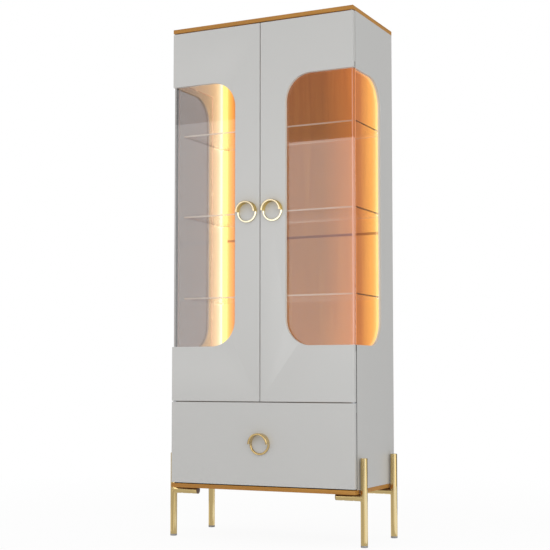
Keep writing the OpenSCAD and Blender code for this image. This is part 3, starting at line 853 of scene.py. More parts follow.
class Piece:
    """A visible piece under construction: a mesh with its finishes, and the body it rides on."""

    head_sides: int = 24
    head_flat: float = 0.42
    head_rim: float = 0.55
    recess_arm: float = 0.15
    recess_wall: float = 0.04
    recess_depth: float = 0.5

    def __init__(self, name: str, body: str, *finishes: Finish) -> None:
        """Starts an empty piece.

        Args:
            name: name of the piece.
            body: the body it rides on.
            finishes: its finishes; the first is the one that faces get by default.
        """
        self.name = name
        self.body = body
        self.finishes = finishes
        self.mesh = bmesh.new()

    def copy(self, node: str, edge: float = 0.0, shortest: float = SHORTEST_EDGE) -> "Piece":
        """Adds a merged copy of a solid, with its longer sharp edges eased.

        Args:
            node: the solid's node.
            edge: width of the eased edge, or 0 for none.
            shortest: edges that aren't longer than this stay sharp.

        Returns:
            The piece itself.
        """
        mesh = self.mesh
        add_solid(mesh, node)
        bmesh.ops.dissolve_limit(mesh, angle_limit=FLAT_ANGLE, verts=mesh.verts[:], edges=mesh.edges[:])
        for face in mesh.faces:
            face.material_index = 0
        if edge:
            self.ease(self.sharp(lambda joint: joint.calc_length() > shortest), edge)
        return self

    def sharp(self, wanted: Callable[[Edge], bool]) -> list[Edge]:
        """Returns the sharp edges that pass a test."""
        joints = [joint for joint in self.mesh.edges if len(joint.link_faces) == 2]
        return [joint for joint in joints if joint.calc_face_angle() > SHARP_ANGLE and wanted(joint)]

    def ease(
        self,
        parts: Iterable[Union[Vert, Edge]],
        width: float,
        segments: int = 2,
        affect: Bevel = Bevel.EDGES,
    ) -> None:
        """Rounds edges, or the corners of an outline.

        Args:
            parts: the edges or corners.
            width: how far the rounding reaches from them.
            segments: number of its steps.
            affect: whether the parts are edges or corners.
        """
        bmesh.ops.bevel(
            self.mesh,
            geom=list(parts),
            offset=width,
            offset_type="OFFSET",
            segments=segments,
            profile=0.5,
            affect=affect.value,
            clamp_overlap=True,
            material=-1,
        )

    def block(self, low: Sequence[float], high: Sequence[float], edge: float) -> "Piece":
        """Adds a bar with eased edges.

        Args:
            low: its lowest corner.
            high: its highest corner.
            edge: width of the eased edges.

        Returns:
            The piece itself.
        """
        low, high = Vector(low), Vector(high)
        shape = Matrix.Translation((low + high) / 2) @ Matrix.Diagonal((*(high - low), 1.0))
        made = bmesh.ops.create_cube(self.mesh, size=1.0, matrix=shape)
        self.ease(edges_of(made["verts"]), edge)
        return self

    def rod(
        self, start: Sequence[float], end: Sequence[float], radius: float, edge: float, sides: int
    ) -> "Piece":
        """Adds a round bar with eased rims.

        Args:
            start: middle of its first end.
            end: middle of its other end.
            radius: its radius.
            edge: width of the eased rims.
            sides: number of its sides.

        Returns:
            The piece itself.
        """
        start, end = Vector(start), Vector(end)
        made = bmesh.ops.create_cone(
            self.mesh,
            cap_ends=True,
            segments=sides,
            radius1=radius,
            radius2=radius,
            depth=(end - start).length,
            matrix=Matrix.Translation((start + end) / 2) @ along(end - start),
        )
        ends = [face for face in faces_of(made["verts"]) if len(face.verts) == sides]
        self.ease({joint for face in ends for joint in face.edges}, edge)
        return self

    def screw_head(self, seat: Vector, facing: Vector, radius: float, height: float) -> "Piece":
        """Adds a pan head with a cross recess.

        Args:
            seat: centre of the surface that the head sits on.
            facing: direction out of that surface.
            radius: radius of the head.
            height: height of the head.

        Returns:
            The piece itself.
        """
        mesh, before = self.mesh, set(self.mesh.verts)
        rim_height, reach = self.head_rim * height, self.recess_arm * radius
        flat = bmesh.ops.create_grid(mesh, x_segments=3, y_segments=3, size=self.head_flat * radius)["verts"]
        rim = bmesh.ops.create_circle(mesh, segments=self.head_sides, radius=radius)["verts"]
        bmesh.ops.translate(mesh, verts=flat, vec=(0, 0, height))
        bmesh.ops.translate(mesh, verts=rim, vec=(0, 0, rim_height))
        circle = edges_of(rim)
        bmesh.ops.bridge_loops(mesh, edges=open_edges(edges_of(flat)) + list(circle))
        skirt = bmesh.ops.extrude_edge_only(mesh, edges=open_edges(circle))
        lowest = [item for item in skirt["geom"] if isinstance(item, Vert)]
        bmesh.ops.translate(mesh, verts=lowest, vec=(0, 0, -rim_height))
        squares = [face for face in faces_of(flat) if all(vert in flat for vert in face.verts)]
        cross = [face for face in squares if min(abs(middle(face).x), abs(middle(face).y)) < reach]
        bmesh.ops.inset_region(
            mesh, faces=cross, thickness=self.recess_wall * radius, depth=-self.recess_depth * height
        )
        new = [vert for vert in mesh.verts if vert not in before]
        bmesh.ops.transform(mesh, matrix=Matrix.Translation(seat) @ along(facing), verts=new)
        return self

    def assign(self, number: int, wanted: Callable[[Face], bool]) -> "Piece":
        """Gives some faces another finish.

        Args:
            number: the place of the finish among those of the piece.
            wanted: the test that these faces pass.

        Returns:
            The piece itself.
        """
        self.mesh.normal_update()
        for face in self.mesh.faces:
            if wanted(face):
                face.material_index = number
        return self

    def place(self, *nodes: str, smooth: float = SMOOTH) -> bpy.types.Object:
        """Makes the piece an object.

        Args:
            nodes: the solids that it stands for.
            smooth: angle in degrees up to which neighbouring faces are shaded as one.

        Returns:
            The object, riding on its body.
        """
        data = mesh_data(self.name, self.mesh, [finish.material() for finish in self.finishes])
        data.shade_smooth()
        for polygon in data.polygons:
            polygon.use_smooth = polygon.area < FLAT_AREA
        data.set_sharp_from_angle(angle=math.radians(smooth))
        made = add_object(self.name, data)
        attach(made, self.body)
        if nodes:
            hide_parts(*nodes)
        log.info("%s: %d faces, rides on %s", self.name, len(data.polygons), self.body)
        return made


def follow(
    name: str,
    body: str,
    node: str,
    finish: Finish,
    edge: float = 0.0,
    shortest: float = SHORTEST_EDGE,
    smooth: float = SMOOTH,
) -> None:
    """Builds a piece of one finish that has the shape of one solid.

    Args:
        name: name of the piece.
        body: the body it rides on.
        node: the solid it stands for.
        finish: its finish.
        edge: width of the eased edges, or 0 for none.
        shortest: edges that aren't longer than this stay sharp.
        smooth: angle in degrees up to which neighbouring faces are shaded as one.
    """
    Piece(name, body, finish).copy(node, edge, shortest).place(node, smooth=smooth)


def along(direction: Vector) -> Matrix:
    """Returns the turn that takes the z axis to a direction."""
    return Vector((0, 0, 1)).rotation_difference(Vector(direction)).to_matrix().to_4x4()


def dress(node: str, finish: Finish) -> None:
    """Gives a solid that stays as it is its finish.

    Args:
        node: the solid's node.
        finish: its finish.
    """
    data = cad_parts[node].data
    data.materials.clear()
    data.materials.append(finish.material())
    log.info("%s: dressed in %s", node, finish.name)


def faces_x(face: Face) -> bool:
    """Tells whether a face looks to the left or to the right."""
    return abs(face.normal.x) > SIDEWAYS


def middle(face: Face) -> Vector:
    """Returns the middle of a face's corners."""
    return face.calc_center_median()


def between(face: Face, low: Vector, high: Vector) -> bool:
    """Tells whether the middle of a face lies between two corners, seen from the side."""
    place = middle(face)
    return low.y < place.y < high.y and low.z < place.z < high.z


def linked(start: Vert) -> list[Vert]:
    """Finds the vertices that hang together with one of them.

    Args:
        start: the vertex to start from.

    Returns:
        The vertices, with the first one among them.
    """
    found, queue = {start}, [start]
    while queue:
        for joint in queue.pop().link_edges:
            for vert in joint.verts:
                if vert not in found:
                    found.add(vert)
                    queue.append(vert)
    return list(found)


def islands(node: str, axis: Axis) -> list[tuple[Vector, float]]:
    """Finds the separate bodies of a solid.

    Args:
        node: the solid's node.
        axis: the axis along which half the thickness is given.

    Returns:
        The centre of each body with half its thickness along the axis.
    """
    mesh = bmesh.new()
    add_solid(mesh, node)
    found, seen = [], set()
    for start in mesh.verts:
        if start not in seen:
            group = linked(start)
            seen.update(group)
            axes = list(zip(*(vert.co for vert in group)))
            low, high = Vector([min(values) for values in axes]), Vector([max(values) for values in axes])
            found.append(((low + high) / 2, (high[axis.value] - low[axis.value]) / 2))
    mesh.free()
    return found


def pane(
    name: str,
    body: str,
    node: str,
    axis: Axis,
    glass: Finish,
    rim: Finish,
    side_rim: Optional[Finish] = None,
    arris: float = 0.4 * MM,
) -> None:
    """Builds a pane or shelf.

    Args:
        name: name of the piece.
        body: the body it rides on.
        node: the solid it stands for.
        axis: the axis that its faces look along.
        glass: finish of the faces.
        rim: finish of the rim.
        side_rim: finish of the rim where it looks to the left or right, or none for the same.
        arris: width of the ground arris.
    """
    made = Piece(name, body, glass, rim, side_rim or rim).copy(node, arris)
    made.assign(1, lambda face: abs(face.normal[axis.value]) < OFF_AXIS)
    if axis is not Axis.X:
        made.assign(2, faces_x)
    made.place(node, smooth=10)


def button_screws(
    name: str,
    body: str,
    node: str,
    axis: Axis,
    finish: Finish,
    radius: float = 3.4 * MM,
    height: float = 1.5 * MM,
    sunk: float = 0.4 * MM,
) -> None:
    """Puts a screw in the middle of every button of a pane.

    Args:
        name: name of the piece.
        body: the body it rides on.
        node: the buttons.
        axis: the axis that the pane looks along, x for a side pane or y for a door pane.
        finish: finish of the screws.
        radius: radius of the heads.
        height: height of the heads.
        sunk: depth of a head's seat in its button.
    """
    heads = Piece(name, body, finish)
    for centre, half in islands(node, axis):
        facing = Vector((-math.copysign(1.0, centre.x), 0, 0) if axis is Axis.X else TO_BACK)
        heads.screw_head(centre - facing * (half - sunk), facing, radius, height)
    heads.place(smooth=30)


def handle_screws(
    node: str,
    body: str,
    head_height: float = 2.0 * MM,
    shank: float = 1.5 * MM,
    tip: float = 0.4 * MM,
    sides: int = 24,
) -> None:
    """Builds the pan-head screws of a ring handle.

    Args:
        node: the solid they stand for.
        body: the body they ride on.
        head_height: height of the heads.
        shank: radius of the shanks.
        tip: width of a shank's eased rims.
        sides: number of a shank's sides.
    """
    screws = Piece(node.replace("handle_screws", "ring_screws"), body, ZINC)
    low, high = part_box(node)
    x, head_radius = (low.x + high.x) / 2, (high.x - low.x) / 2
    for z in (low.z + head_radius, high.z - head_radius):
        seat = Vector((x, high.y - head_height, z))
        screws.screw_head(seat, Vector(TO_BACK), head_radius, head_height)
        screws.rod((x, low.y, z), seat, shank, tip, sides)
    screws.place(node, smooth=30)


def leg_axis(row: Row, side: Side) -> tuple[Vector, float]:
    """Finds the axis of a leg.

    Args:
        row: row of the leg.
        side: side of the leg.

    Returns:
        Where the axis meets the floor, and the radius of the tube.
    """
    low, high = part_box(f"leg_{row}_{side}")
    radius = (high.y - low.y) / 2
    x = low.x + radius if side is Side.LEFT else high.x - radius
    return Vector((x, (low.y + high.y) / 2, 0.0)), radius


@dataclass
class Carcass:
    """The boards of the case, with the strip and the lead-through in its back."""

    edge: float = 0.6 * MM
    under_skin: float = 0.1 * MM
    front_slope: float = 0.3
    rebate_skin: float = 1.0 * MM
    rebate_limit: float = 0.366
    back_edge: float = 0.25 * MM
    shortest_back_edge: float = 10.0 * MM
    strip_edge: float = 0.2 * MM
    lead_through_edge: float = 0.4 * MM
    nail_radius: float = 2.0 * MM
    nail_head: float = 0.7 * MM
    nail_sunk: float = 0.2 * MM
    nail_edge: float = 0.3 * MM
    nail_sides: int = 16
    nail_pitch: float = 0.155
    nail_inset: float = 3.5 * MM

    def build(self) -> None:
        """Builds the case."""
        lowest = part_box("base_panel")[0].z + self.under_skin
        for node in ("top_panel", "base_panel"):
            board = Piece(node.replace("panel", "board"), "carcass", TIMBER_WIDE, TIMBER_DEEP, UNDERSIDE_OAK_PAINTED_SHADE)
            board.copy(node, self.edge).assign(1, faces_x)
            # Faces below the base board get the dark timber of painted shade.
            board.assign(2, lambda face: middle(face).z < lowest).place(node)
        follow("divider_board", "carcass", "divider_panel", INSIDE, self.edge)
        for side in Side:
            self.side_board(side)
        for part in ("upper", "lower"):
            names = f"back_board_{part}", "carcass", f"back_panel_{part}"
            follow(*names, TIMBER_BACK, self.back_edge, self.shortest_back_edge)
        follow("back_strip", "carcass", "back_joint_strip", STRIP, self.strip_edge)
        names = "cable_lead_through", "carcass", "cable_grommet"
        follow(*names, DARK_PLASTIC, self.lead_through_edge, shortest=0.0, smooth=35)
        self.nails()

    def side_board(self, side: Side) -> None:
        """Builds a side board: painted shade on its front edge where it meets the doors, painted light in its
        rebate and round its window.

        Args:
            side: side of the board.
        """
        node, name = f"side_panel_{side}", f"side_board_{side}"
        board = Piece(name, "carcass", SIDE_LACQUER, DOOR_GAP_SHADE, REVEAL_LACQUER, REBATE_LACQUER)
        board.copy(node, self.edge)
        low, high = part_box(f"side_glass_{side}")
        front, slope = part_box(node)[0].y + self.edge, -self.front_slope
        inner, outer = min(abs(low.x), abs(high.x)) + self.rebate_skin, self.rebate_limit

        def meets_door(face: Face) -> bool:
            """Tells whether a face lies on the front edge below the window, where the painted shade of the
            door gap goes.
            """
            return face.normal.y < slope and middle(face).y < front and middle(face).z < low.z

        board.assign(1, meets_door)
        board.assign(2, lambda face: between(face, low, high) and not faces_x(face))
        board.assign(3, lambda face: faces_x(face) and inner < abs(middle(face).x) < outer).place(node)

    def nails(self) -> None:
        """Puts nail heads round the edge of the back boards, seen from behind."""
        low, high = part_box("back_panel_lower")[0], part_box("back_panel_upper")[1]
        inset, foot, head = self.nail_inset, high.y - self.nail_sunk, high.y + self.nail_head
        up, across = self.steps(low.z, high.z), self.steps(low.x, high.x)
        places = [(x, z) for z in up for x in (low.x + inset, high.x - inset)]
        places += [(x, z) for x in across for z in (low.z + inset, high.z - inset)]
        heads = Piece("back_nails", "carcass", ZINC)
        for x, z in places:
            heads.rod((x, foot, z), (x, head, z), self.nail_radius, self.nail_edge, self.nail_sides)
        heads.place()

    def steps(self, start: float, end: float) -> list[float]:
        """Returns even places between two ends, about a nail pitch apart."""
        count = round((end - start) / self.nail_pitch)
        return [start + (number + 0.5) * (end - start) / count for number in range(count)]


@dataclass
class Glazing:
    """The fixed panes, the shelves, and what holds them."""

    grip_edge: float = 0.3 * MM
    shortest_grip_edge: float = 4.0 * MM
    lip_gap: float = 0.45 * MM
    lip_thickness: float = 0.4 * MM
    lip_edge: float = 0.1 * MM
    lip_lap: float = 22.0 * MM

    def build(self) -> None:
        """Builds the fixed glass."""
        for side in Side:
            pane(f"side_pane_{side}", "carcass", f"side_glass_{side}", Axis.X, GLASS, PANE_RIM)
            self.lip(side)
            names = f"shelf_grips_{side}", "carcass", f"shelf_clamps_{side}"
            follow(*names, GRIP_ZINC, self.grip_edge, self.shortest_grip_edge, smooth=30)
        for level in ("lower", "middle", "upper"):
            names = f"glass_shelf_{level}", "carcass", f"shelf_{level}"
            pane(*names, Axis.Z, SHELF_GLASS, SHELF_RIM, SHELF_SIDE_RIM)
        follow("side_pane_buttons", "carcass", "side_glass_buttons", LIT_NYLON, smooth=30)
        button_screws("side_button_screws", "carcass", "side_glass_buttons", Axis.X, GRIP_ZINC)

    def lip(self, side: Side) -> None:
        """Adds the half-clear lip on the front rim of a side pane, which closes the gap behind the door. Its
        dark tint is painted shade, and its glow is painted light from the corners.

        Args:
            side: side of the pane.
        """
        low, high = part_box(f"side_glass_{side}")
        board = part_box(f"side_panel_{side}")
        inner, outer = max(abs(low.x), abs(high.x)), max(abs(board[0].x), abs(board[1].x))
        ends = sorted((side.value * (inner + self.lip_gap / 2), side.value * (outer - self.lip_gap)))
        front = board[0].y - self.lip_gap
        bottom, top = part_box(f"door_glass_{side}")[0].z + self.lip_lap, high.z - self.lip_lap
        strip = Piece(f"dust_lip_{side}", "carcass", LIP)
        strip.block((ends[0], front, bottom), (ends[1], front + self.lip_thickness, top), self.lip_edge)
        strip.place()


@dataclass
class CornerLights:
    """The light profiles, tapes and covers in the two rear corners."""

    profile_edge: float = 0.2 * MM

    def build(self) -> None:
        """Builds the lights."""
        follow("corner_profiles", "carcass", "light_profiles", ALUMINIUM, self.profile_edge, smooth=30)
        follow("corner_tapes", "carcass", "light_tapes", TAPE)
        follow("corner_covers", "carcass", "light_covers", OPAL, smooth=30)


@dataclass
class Legs:
    """The four tube legs with their welds, glides, plugs and screws."""

    rim: float = 1.6 * MM
    rim_steps: int = 4
    bead: float = 1.3 * MM
    bead_sides: int = 10
    bead_steps: int = 32
    pad_edge: float = 0.8 * MM
    plug_edge: float = 0.5 * MM
    bolt_edge: float = 0.4 * MM

    def build(self) -> None:
        """Builds the legs."""
        for row in Row:
            for side in Side:
                self.leg(row, side)
        for name, node, finish, edge in (
            ("foot_pads", "foot_glides", GLIDE_GREY, self.pad_edge),
            ("tube_end_plugs", "cross_tube_plugs", BRONZE_PLASTIC, self.plug_edge),
            ("leg_bolts", "leg_screws", ZINC, self.bolt_edge),
        ):
            follow(name, "carcass", node, finish, edge, shortest=0.0, smooth=35)

    def leg(self, row: Row, side: Side) -> None:
        """Builds one leg: the solid with a rounded cap, and a weld bead round its cross tube.

        Args:
            row: row of the leg.
            side: side of the leg.
        """
        node = f"leg_{row}_{side}"
        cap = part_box(node)[1].z - SKIN
        tube = Piece(f"tube_leg_{row}_{side}", "carcass", GOLD_TUBE).copy(node)
        cap_rim = tube.sharp(lambda joint: all(vert.co.z > cap for vert in joint.verts))
        tube.ease(cap_rim, self.rim, self.rim_steps)
        tube.place(node, smooth=30)
        centre, radius = leg_axis(row, side)
        centre.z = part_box("base_panel")[0].z - radius
        self.weld(f"weld_{row}_{side}", centre, radius, -side.value)

    def weld(self, name: str, centre: Vector, radius: float, inward: int) -> None:
        """Builds the bead where two tubes of one diameter meet: two half ellipses at 45 degrees.

        Args:
            name: name of the piece.
            centre: where the axes of the tubes cross.
            radius: radius of the tubes.
            inward: direction of the cross tube along x.
        """
        bead = Piece(name, "carcass", GOLD_TUBE)
        mesh = bead.mesh
        for tilt in (-45, 45):
            ring = bmesh.ops.create_circle(mesh, segments=self.bead_sides, radius=self.bead)["verts"]
            upright, tilted = (Matrix.Rotation(math.radians(angle), 3, "Y") for angle in (90, tilt))
            bmesh.ops.rotate(mesh, verts=ring, cent=ORIGIN, matrix=upright)
            bmesh.ops.translate(mesh, verts=ring, vec=(0, -radius, 0))
            half_turn = {"cent": ORIGIN, "axis": (0, 0, 1), "angle": inward * math.pi}
            bmesh.ops.spin(mesh, geom=ring + list(edges_of(ring)), steps=self.bead_steps, **half_turn)
            shell = linked(ring[0])
            bmesh.ops.holes_fill(mesh, edges=open_edges(mesh.edges), sides=0)
            bmesh.ops.scale(mesh, verts=shell, vec=(math.sqrt(2), 1, 1))
            bmesh.ops.rotate(mesh, verts=shell, cent=ORIGIN, matrix=tilted)
            bmesh.ops.translate(mesh, verts=shell, vec=centre)
        bmesh.ops.recalc_face_normals(mesh, faces=mesh.faces[:])
        bead.place(smooth=60)


@dataclass
class RingHandle:
    """A ring whose upper half is a deep band to pull on, and whose lower half lies low."""

    node: str
    body: str
    # Painted light and shade: the front gets the painted highlight, the walls of the upper band the painted
    # reflection, and its crest the painted shade.
    front: Finish = RING_GOLD_PAINTED_HIGHLIGHT
    inside: Finish = BAND_GOLD_PAINTED_REFLECTION
    crest: Finish = CREST_GOLD_PAINTED_SHADE
    wall: float = 7.0 * MM
    low_depth: float = 7.0 * MM
    rounding: float = 1.4 * MM
    rounding_steps: int = 5
    steps: int = 72
    front_slope: float = 0.3

    def build(self) -> None:
        """Builds the ring."""
        low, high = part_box(self.node)
        radius = (high.x - low.x) / 2
        name = self.node.replace("door_handle", "ring").replace("drawer_handle", "ring_drawer")
        ring = Piece(name, self.body, self.front, self.inside, self.crest)
        for depth, turn in ((high.y - low.y, -math.pi), (self.low_depth, math.pi)):
            self.band(ring, radius, depth, turn)
        mesh, slope = ring.mesh, self.front_slope
        bmesh.ops.recalc_face_normals(mesh, faces=mesh.faces[:])
        ring.assign(1, lambda face: middle(face).z > 0 and abs(face.normal.y) < slope)
        ring.assign(2, lambda face: middle(face).z > 0 and face.normal.y < -slope)
        centre = Vector(((low.x + high.x) / 2, high.y, (low.z + high.z) / 2))
        bmesh.ops.translate(mesh, verts=mesh.verts[:], vec=centre)
        ring.place(self.node, smooth=40)

    def band(self, ring: Piece, radius: float, depth: float, turn: float) -> None:
        """Spins half a ring round the y axis.

        Args:
            ring: the piece that gets the band.
            radius: outer radius.
            depth: how far the band stands out, towards -y.
            turn: angle of the spin, from +x.
        """
        mesh, before = ring.mesh, set(ring.mesh.verts)
        shape = Matrix.Translation((radius - self.wall / 2, -depth / 2, 0))
        shape = shape @ Matrix.Diagonal((self.wall, depth, 1, 1))
        corners = bmesh.ops.create_grid(mesh, x_segments=1, y_segments=1, size=0.5, matrix=shape)["verts"]
        front = [vert for vert in corners if vert.co.y < -depth / 2]
        ring.ease(front, self.rounding, self.rounding_steps, Bevel.CORNERS)
        outline = [vert for vert in mesh.verts if vert not in before]
        faces, geom = list(faces_of(outline)), outline + list(edges_of(outline))
        bmesh.ops.delete(mesh, geom=faces, context="FACES_ONLY")
        bmesh.ops.spin(mesh, geom=geom, cent=ORIGIN, axis=(0, 1, 0), angle=turn, steps=self.steps)
        bmesh.ops.holes_fill(mesh, edges=open_edges(mesh.edges), sides=0)


@dataclass
class Door:
    """A door board with its pane, buttons, ring handle and pivots."""

    side: Side
    edge: float = 0.8 * MM
    pin_edge: float = 0.4 * MM
    bush_edge: float = 0.3 * MM
    strike_edge: float = 0.2 * MM

    def build(self) -> None:
        """Builds the door."""
        side, body = self.side, f"{self.side}_door"
        buttons = f"door_glass_buttons_{side}"
        follow(f"door_board_{side}", body, f"door_panel_{side}", LACQUER, self.edge)
        pane(f"door_pane_{side}", body, f"door_glass_{side}", Axis.Y, GLASS, DOOR_RIM)
        follow(f"door_pane_buttons_{side}", body, buttons, NYLON, smooth=30)
        RingHandle(f"door_handle_{side}", body).build()
        handle_screws(f"door_handle_screws_{side}", body)
        for kind, finish, edge in (
            ("pivot_pin", ZINC, self.pin_edge),
            ("pivot_bush", NYLON, self.bush_edge),
            ("strike", ZINC, self.strike_edge),
        ):
            follow(f"{kind}_{side}", body, f"door_{kind}_{side}", finish, edge, shortest=0.0, smooth=35)
        button_screws(f"door_button_screws_{side}", body, buttons, Axis.Y, ZINC)


@dataclass
class Fittings:
    """Pivot fittings and the magnetic catch on the case."""

    bracket_edge: float = 0.25 * MM
    shortest_bracket_edge: float = 2.0 * MM
    flange: float = 1.7 * MM
    screw_shares: Pair = (0.25, 0.75)
    screw_radius: float = 3.6 * MM
    screw_height: float = 1.8 * MM
    catch_edge: float = 0.5 * MM

    def build(self) -> None:
        """Builds the fittings."""
        follow("upper_pivot_bushes", "carcass", "top_pivot_bushes", NYLON, smooth=35)
        for side in Side:
            names = f"lower_pivot_{side}", "carcass", f"pivot_bracket_{side}"
            follow(*names, ZINC, self.bracket_edge, self.shortest_bracket_edge, smooth=30)
            self.bracket_screws(side)
        follow("double_catch", "carcass", "magnetic_catch", DARK_PLASTIC, self.catch_edge)

    def bracket_screws(self, side: Side) -> None:
        """Puts two screws in the flange of a lower pivot bracket.

        Args:
            side: side of the bracket.
        """
        low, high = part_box(f"pivot_bracket_{side}")
        x, y = (low.x + high.x) / 2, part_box(f"side_panel_{side}")[0].y - self.flange
        heads = Piece(f"pivot_screws_{side}", "carcass", ZINC)
        for share in self.screw_shares:
            z = low.z + share * (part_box("drawer_front")[1].z - low.z)
            heads.screw_head(Vector((x, y, z)), Vector((0, -1, 0)), self.screw_radius, self.screw_height)
        heads.place(smooth=30)


@dataclass
class Drawer:
    """The drawer front, its box and its ring handle."""

    edge: float = 0.8 * MM
    box_edge: float = 0.4 * MM
    ring_rounding: float = 3.2 * MM

    def build(self) -> None:
        """Builds the drawer."""
        follow("drawer_board", "drawer", "drawer_front", LACQUER, self.edge)
        for name, node in (
            ("wall_left", "side_left"),
            ("wall_right", "side_right"),
            ("wall_front", "inner_front"),
            ("wall_back", "back"),
            ("floor", "bottom"),
        ):
            follow(f"drawer_{name}", "drawer", f"drawer_{node}", INSIDE, self.box_edge)
        # The drawer ring takes darker copies of the gold: painted shade on its front and crest, and painted
        # light and shade on the walls of its band.
        finishes = DRAWER_GOLD_PAINTED_SHADE, DRAWER_BAND_GOLD_PAINTED_LIGHT_SHADE, DRAWER_GOLD_PAINTED_SHADE
        RingHandle("drawer_handle", "drawer", *finishes, rounding=self.ring_rounding).build()
        handle_screws("drawer_handle_screws", "drawer")


@dataclass
class Runners:
    """The telescopic runners of the drawer."""

    fold: float = 0.35 * MM

    def build(self) -> None:
        """Builds the runners."""
        for part, body in (("outer", "carcass"), ("middle", "runner_middles"), ("inner", "drawer")):
            follow(f"runner_{part}_rails", body, f"runner_{part}_members", RUNNER_STEEL, self.fold)
        dress("runner_ball_cages", NYLON)


def sheet(name: str, coat: str, shape: Matrix, paint: Callable[[Nodes], Socket]) -> bpy.types.Object:
    """Adds a flat rectangle of the stage.

    Args:
        name: name of the object.
        coat: name of its material.
        shape: what turns a square of one metre into the sheet.
        paint: builds the shader of the sheet.

    Returns:
        The sheet as an object.
    """
    mesh = bmesh.new()
    bmesh.ops.create_grid(mesh, x_segments=1, y_segments=1, size=0.5, matrix=shape)
    material = bpy.data.materials.new(coat)
    nodes = Nodes(material)
    nodes.output(paint(nodes))
    made = add_object(name, mesh_data(name, mesh, [material]))
    return made


@dataclass(frozen=True)
class Card:
    """A studio card that only reflections see: it gives metal and glass something to mirror."""

    name: str
    centre: Point
    size: Pair
    facing: Point
    level: float
    tint: Colour = WHITE

    def build(self) -> None:
        """Builds the card."""
        turn = Vector(self.facing).to_track_quat("Z", "Y").to_matrix().to_4x4()
        shape = Matrix.Translation(self.centre) @ turn @ Matrix.Diagonal((*self.size, 1, 1))
        tone = tuple(self.level * share for share in self.tint)
        made = sheet(self.name, self.name, shape, lambda nodes: nodes.emission(tone))
        for ray in ("camera", "diffuse", "transmission", "volume_scatter", "shadow"):
            setattr(made, f"visible_{ray}", False)


@dataclass(frozen=True)
class Lamp:
    """A soft square lamp that looks at the middle of the cabinet."""

    name: str
    place: Point
    size: float
    power: float
    tint: Colour = WHITE

    def build(self) -> None:
        """Builds the lamp."""
        data = bpy.data.lights.new(self.name, "AREA")
        data.size = self.size
        data.energy = self.power
        data.color = self.tint
        made = add_object(self.name, data)
        made.location = self.place
        centre = (CAD_BOX[0] + CAD_BOX[1]) / 2
        made.rotation_euler = (Vector(self.place) - centre).to_track_quat("Z", "Y").to_euler()


LAMPS = (
    Lamp("key_lamp", (-2.3, -3.4, 3.3), size=1.5, power=14.2),
    Lamp("fill_lamp", (3.2, -2.6, 2.2), size=2.4, power=30.5, tint=(0.90, 0.96, 1.0)),
)
ROOM_CARDS = (
    Card("card_upper_front", (0.0, -3.3, 4.2), (12.0, 4.6), TO_BACK, 0.10),
    Card("card_front_left", (-3.70, -3.2, 1.52), (4.6, 1.54), TO_BACK, 1.4),
    Card("card_front_right", (2.30, -3.2, 1.425), (7.4, 1.35), TO_BACK, 2.4),
    Card("card_low_front", (0.0, -3.2, 0.375), (12.0, 0.75), TO_BACK, 0.5),
    Card("card_left", (-3.6, -0.6, 0.6), (5.0, 1.2), (1.0, 0.0, 0.0), 0.6),
    Card("card_low_left", (-1.3, -0.3, 0.32), (2.4, 0.64), (1.0, 0.0, 0.0), 0.66),
    Card("card_low_right", (1.15, -0.75, 0.32), (0.7, 0.64), (-1.0, 0.3, 0.0), 1.35, (0.81, 0.91, 1.2)),
    Card("card_low_behind", (0.0, 0.95, 0.32), (4.2, 0.64), (0.0, -1.0, 0.0), 0.34),
    # Painted shadow: a dim card under the cabinet stands in for the floor's shadow there, as metal mirrors
    # it.
    Card("card_under", (0.0, -0.05, 0.002), (1.0, 0.40), (0.0, 0.0, 1.0), 0.66),
    Card("card_behind_right", (2.6, 1.9, 1.4), (3.6, 5.6), (-0.5, -0.9, 0.0), 0.16),
    Card("card_right", (1.9, -0.5, 1.1), (0.9, 2.2), (-1.0, 0.25, 0.0), 1.9),
)
LEG_CARDS = (
    Card("card_dim", (-0.09, -0.13, 0.0725), (0.22, 0.145), TO_BACK, 0.64),
    Card("card_bright", (0.12, -0.02, 0.09), (0.18, 0.18), (-1.0, 0.0, 0.0), 1.2, (1.0, 1.1, 1.4)),
)


def seen_rays(nodes: Nodes) -> Value:
    """Tells the rays of the camera, of mirroring and of glass from the others.

    Args:
        nodes: the node tree of the material or of the world.

    Returns:
        1 for these rays, else 0.
    """
    rays = nodes.node("ShaderNodeLightPath").outputs
    seen = Value(nodes, rays["Is Camera Ray"])
    for name in ("Is Glossy Ray", "Is Transmission Ray"):
        seen = seen.larger(Value(nodes, rays[name]))
    return seen


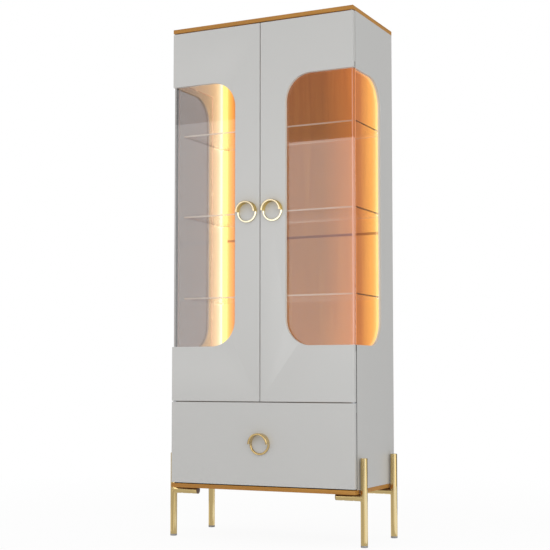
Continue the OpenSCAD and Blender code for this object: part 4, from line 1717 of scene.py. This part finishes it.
@dataclass
class Studio:
    """The pale floor, the lamps, the cards and the camera."""

    daylight: float = 0.87
    floor_size: float = 14.0
    floor_tone: float = 0.82
    floor_white: float = 0.93
    floor_near: float = 1.2
    floor_fade: float = 2.0
    camera_place: Point = (2.0370, -4.2093, 0.5939)
    camera_yaw: float = 26.125
    camera_pitch: float = 3.636
    camera_sensor: float = 36.0
    camera_lens: float = 80.832
    camera_shift: float = 0.045

    def build(self) -> None:
        """Builds the studio."""
        self.world()
        sheet("floor", "pale_floor", Matrix.Diagonal((self.floor_size, self.floor_size, 1, 1)), self.floor)
        for item in (*LAMPS, *ROOM_CARDS):
            item.build()
        self.leg_cards()
        self.camera()

    @staticmethod
    def leg_cards() -> None:
        """Stands a dim and a bright card so close to every leg that its foot mirrors them too."""
        for row in Row:
            for side in Side:
                foot = leg_axis(row, side)[0]
                for card in LEG_CARDS:
                    name, centre = f"{card.name}_{row}_{side}", tuple(foot + Vector(card.centre))
                    replace(card, name=name, centre=centre).build()

    def world(self) -> None:
        """Lights the room evenly; the camera, metal and glass see it white."""
        world = bpy.data.worlds.new("studio")
        bpy.context.scene.world = world
        nodes = Nodes(world)
        tone = nodes.blend(seen_rays(nodes), (self.daylight,) * 3, WHITE)
        nodes.output(nodes.node("ShaderNodeBackground", inputs={"Color": tone, "Strength": 1.0}).outputs[0])

    def floor(self, nodes: Nodes) -> Socket:
        """Paints the pale floor; the camera sees it near white, with the shadows on it.

        Args:
            nodes: the node tree of the material.

        Returns:
            The shader.
        """
        matt = nodes.node("ShaderNodeBsdfDiffuse", inputs={"Color": (self.floor_tone,) * 3}).outputs[0]
        white = nodes.emission(WHITE)
        x, y, _ = nodes.xyz()
        far = ((x * x + y * y) ** 0.5 - self.floor_near) / self.floor_fade
        share = seen_rays(nodes) * (self.floor_white + (1.0 - self.floor_white) * far.clamped())
        return nodes.mixed(share, matt, white)

    def camera(self) -> None:
        """Sets the camera at the fitted place, looking slightly upwards."""
        data = bpy.data.cameras.new("camera")
        data.sensor_width = self.camera_sensor
        data.lens = self.camera_lens
        data.shift_y = self.camera_shift
        made = add_object("camera", data)
        made.location = self.camera_place
        made.rotation_euler = (math.radians(90 + self.camera_pitch), 0.0, math.radians(self.camera_yaw))
        bpy.context.scene.camera = made
        bpy.context.scene.view_settings.view_transform = "Standard"


def main() -> None:
    """Builds every sub-assembly in order, then the studio."""
    logging.basicConfig(level=logging.INFO, format="%(name)s: %(message)s")
    doors = [Door(side) for side in Side]
    parts = [Carcass(), Glazing(), CornerLights(), Legs(), Fittings(), *doors, Drawer(), Runners(), Studio()]
    for part in parts:
        part.build()


if __name__ == "__main__":
    main()
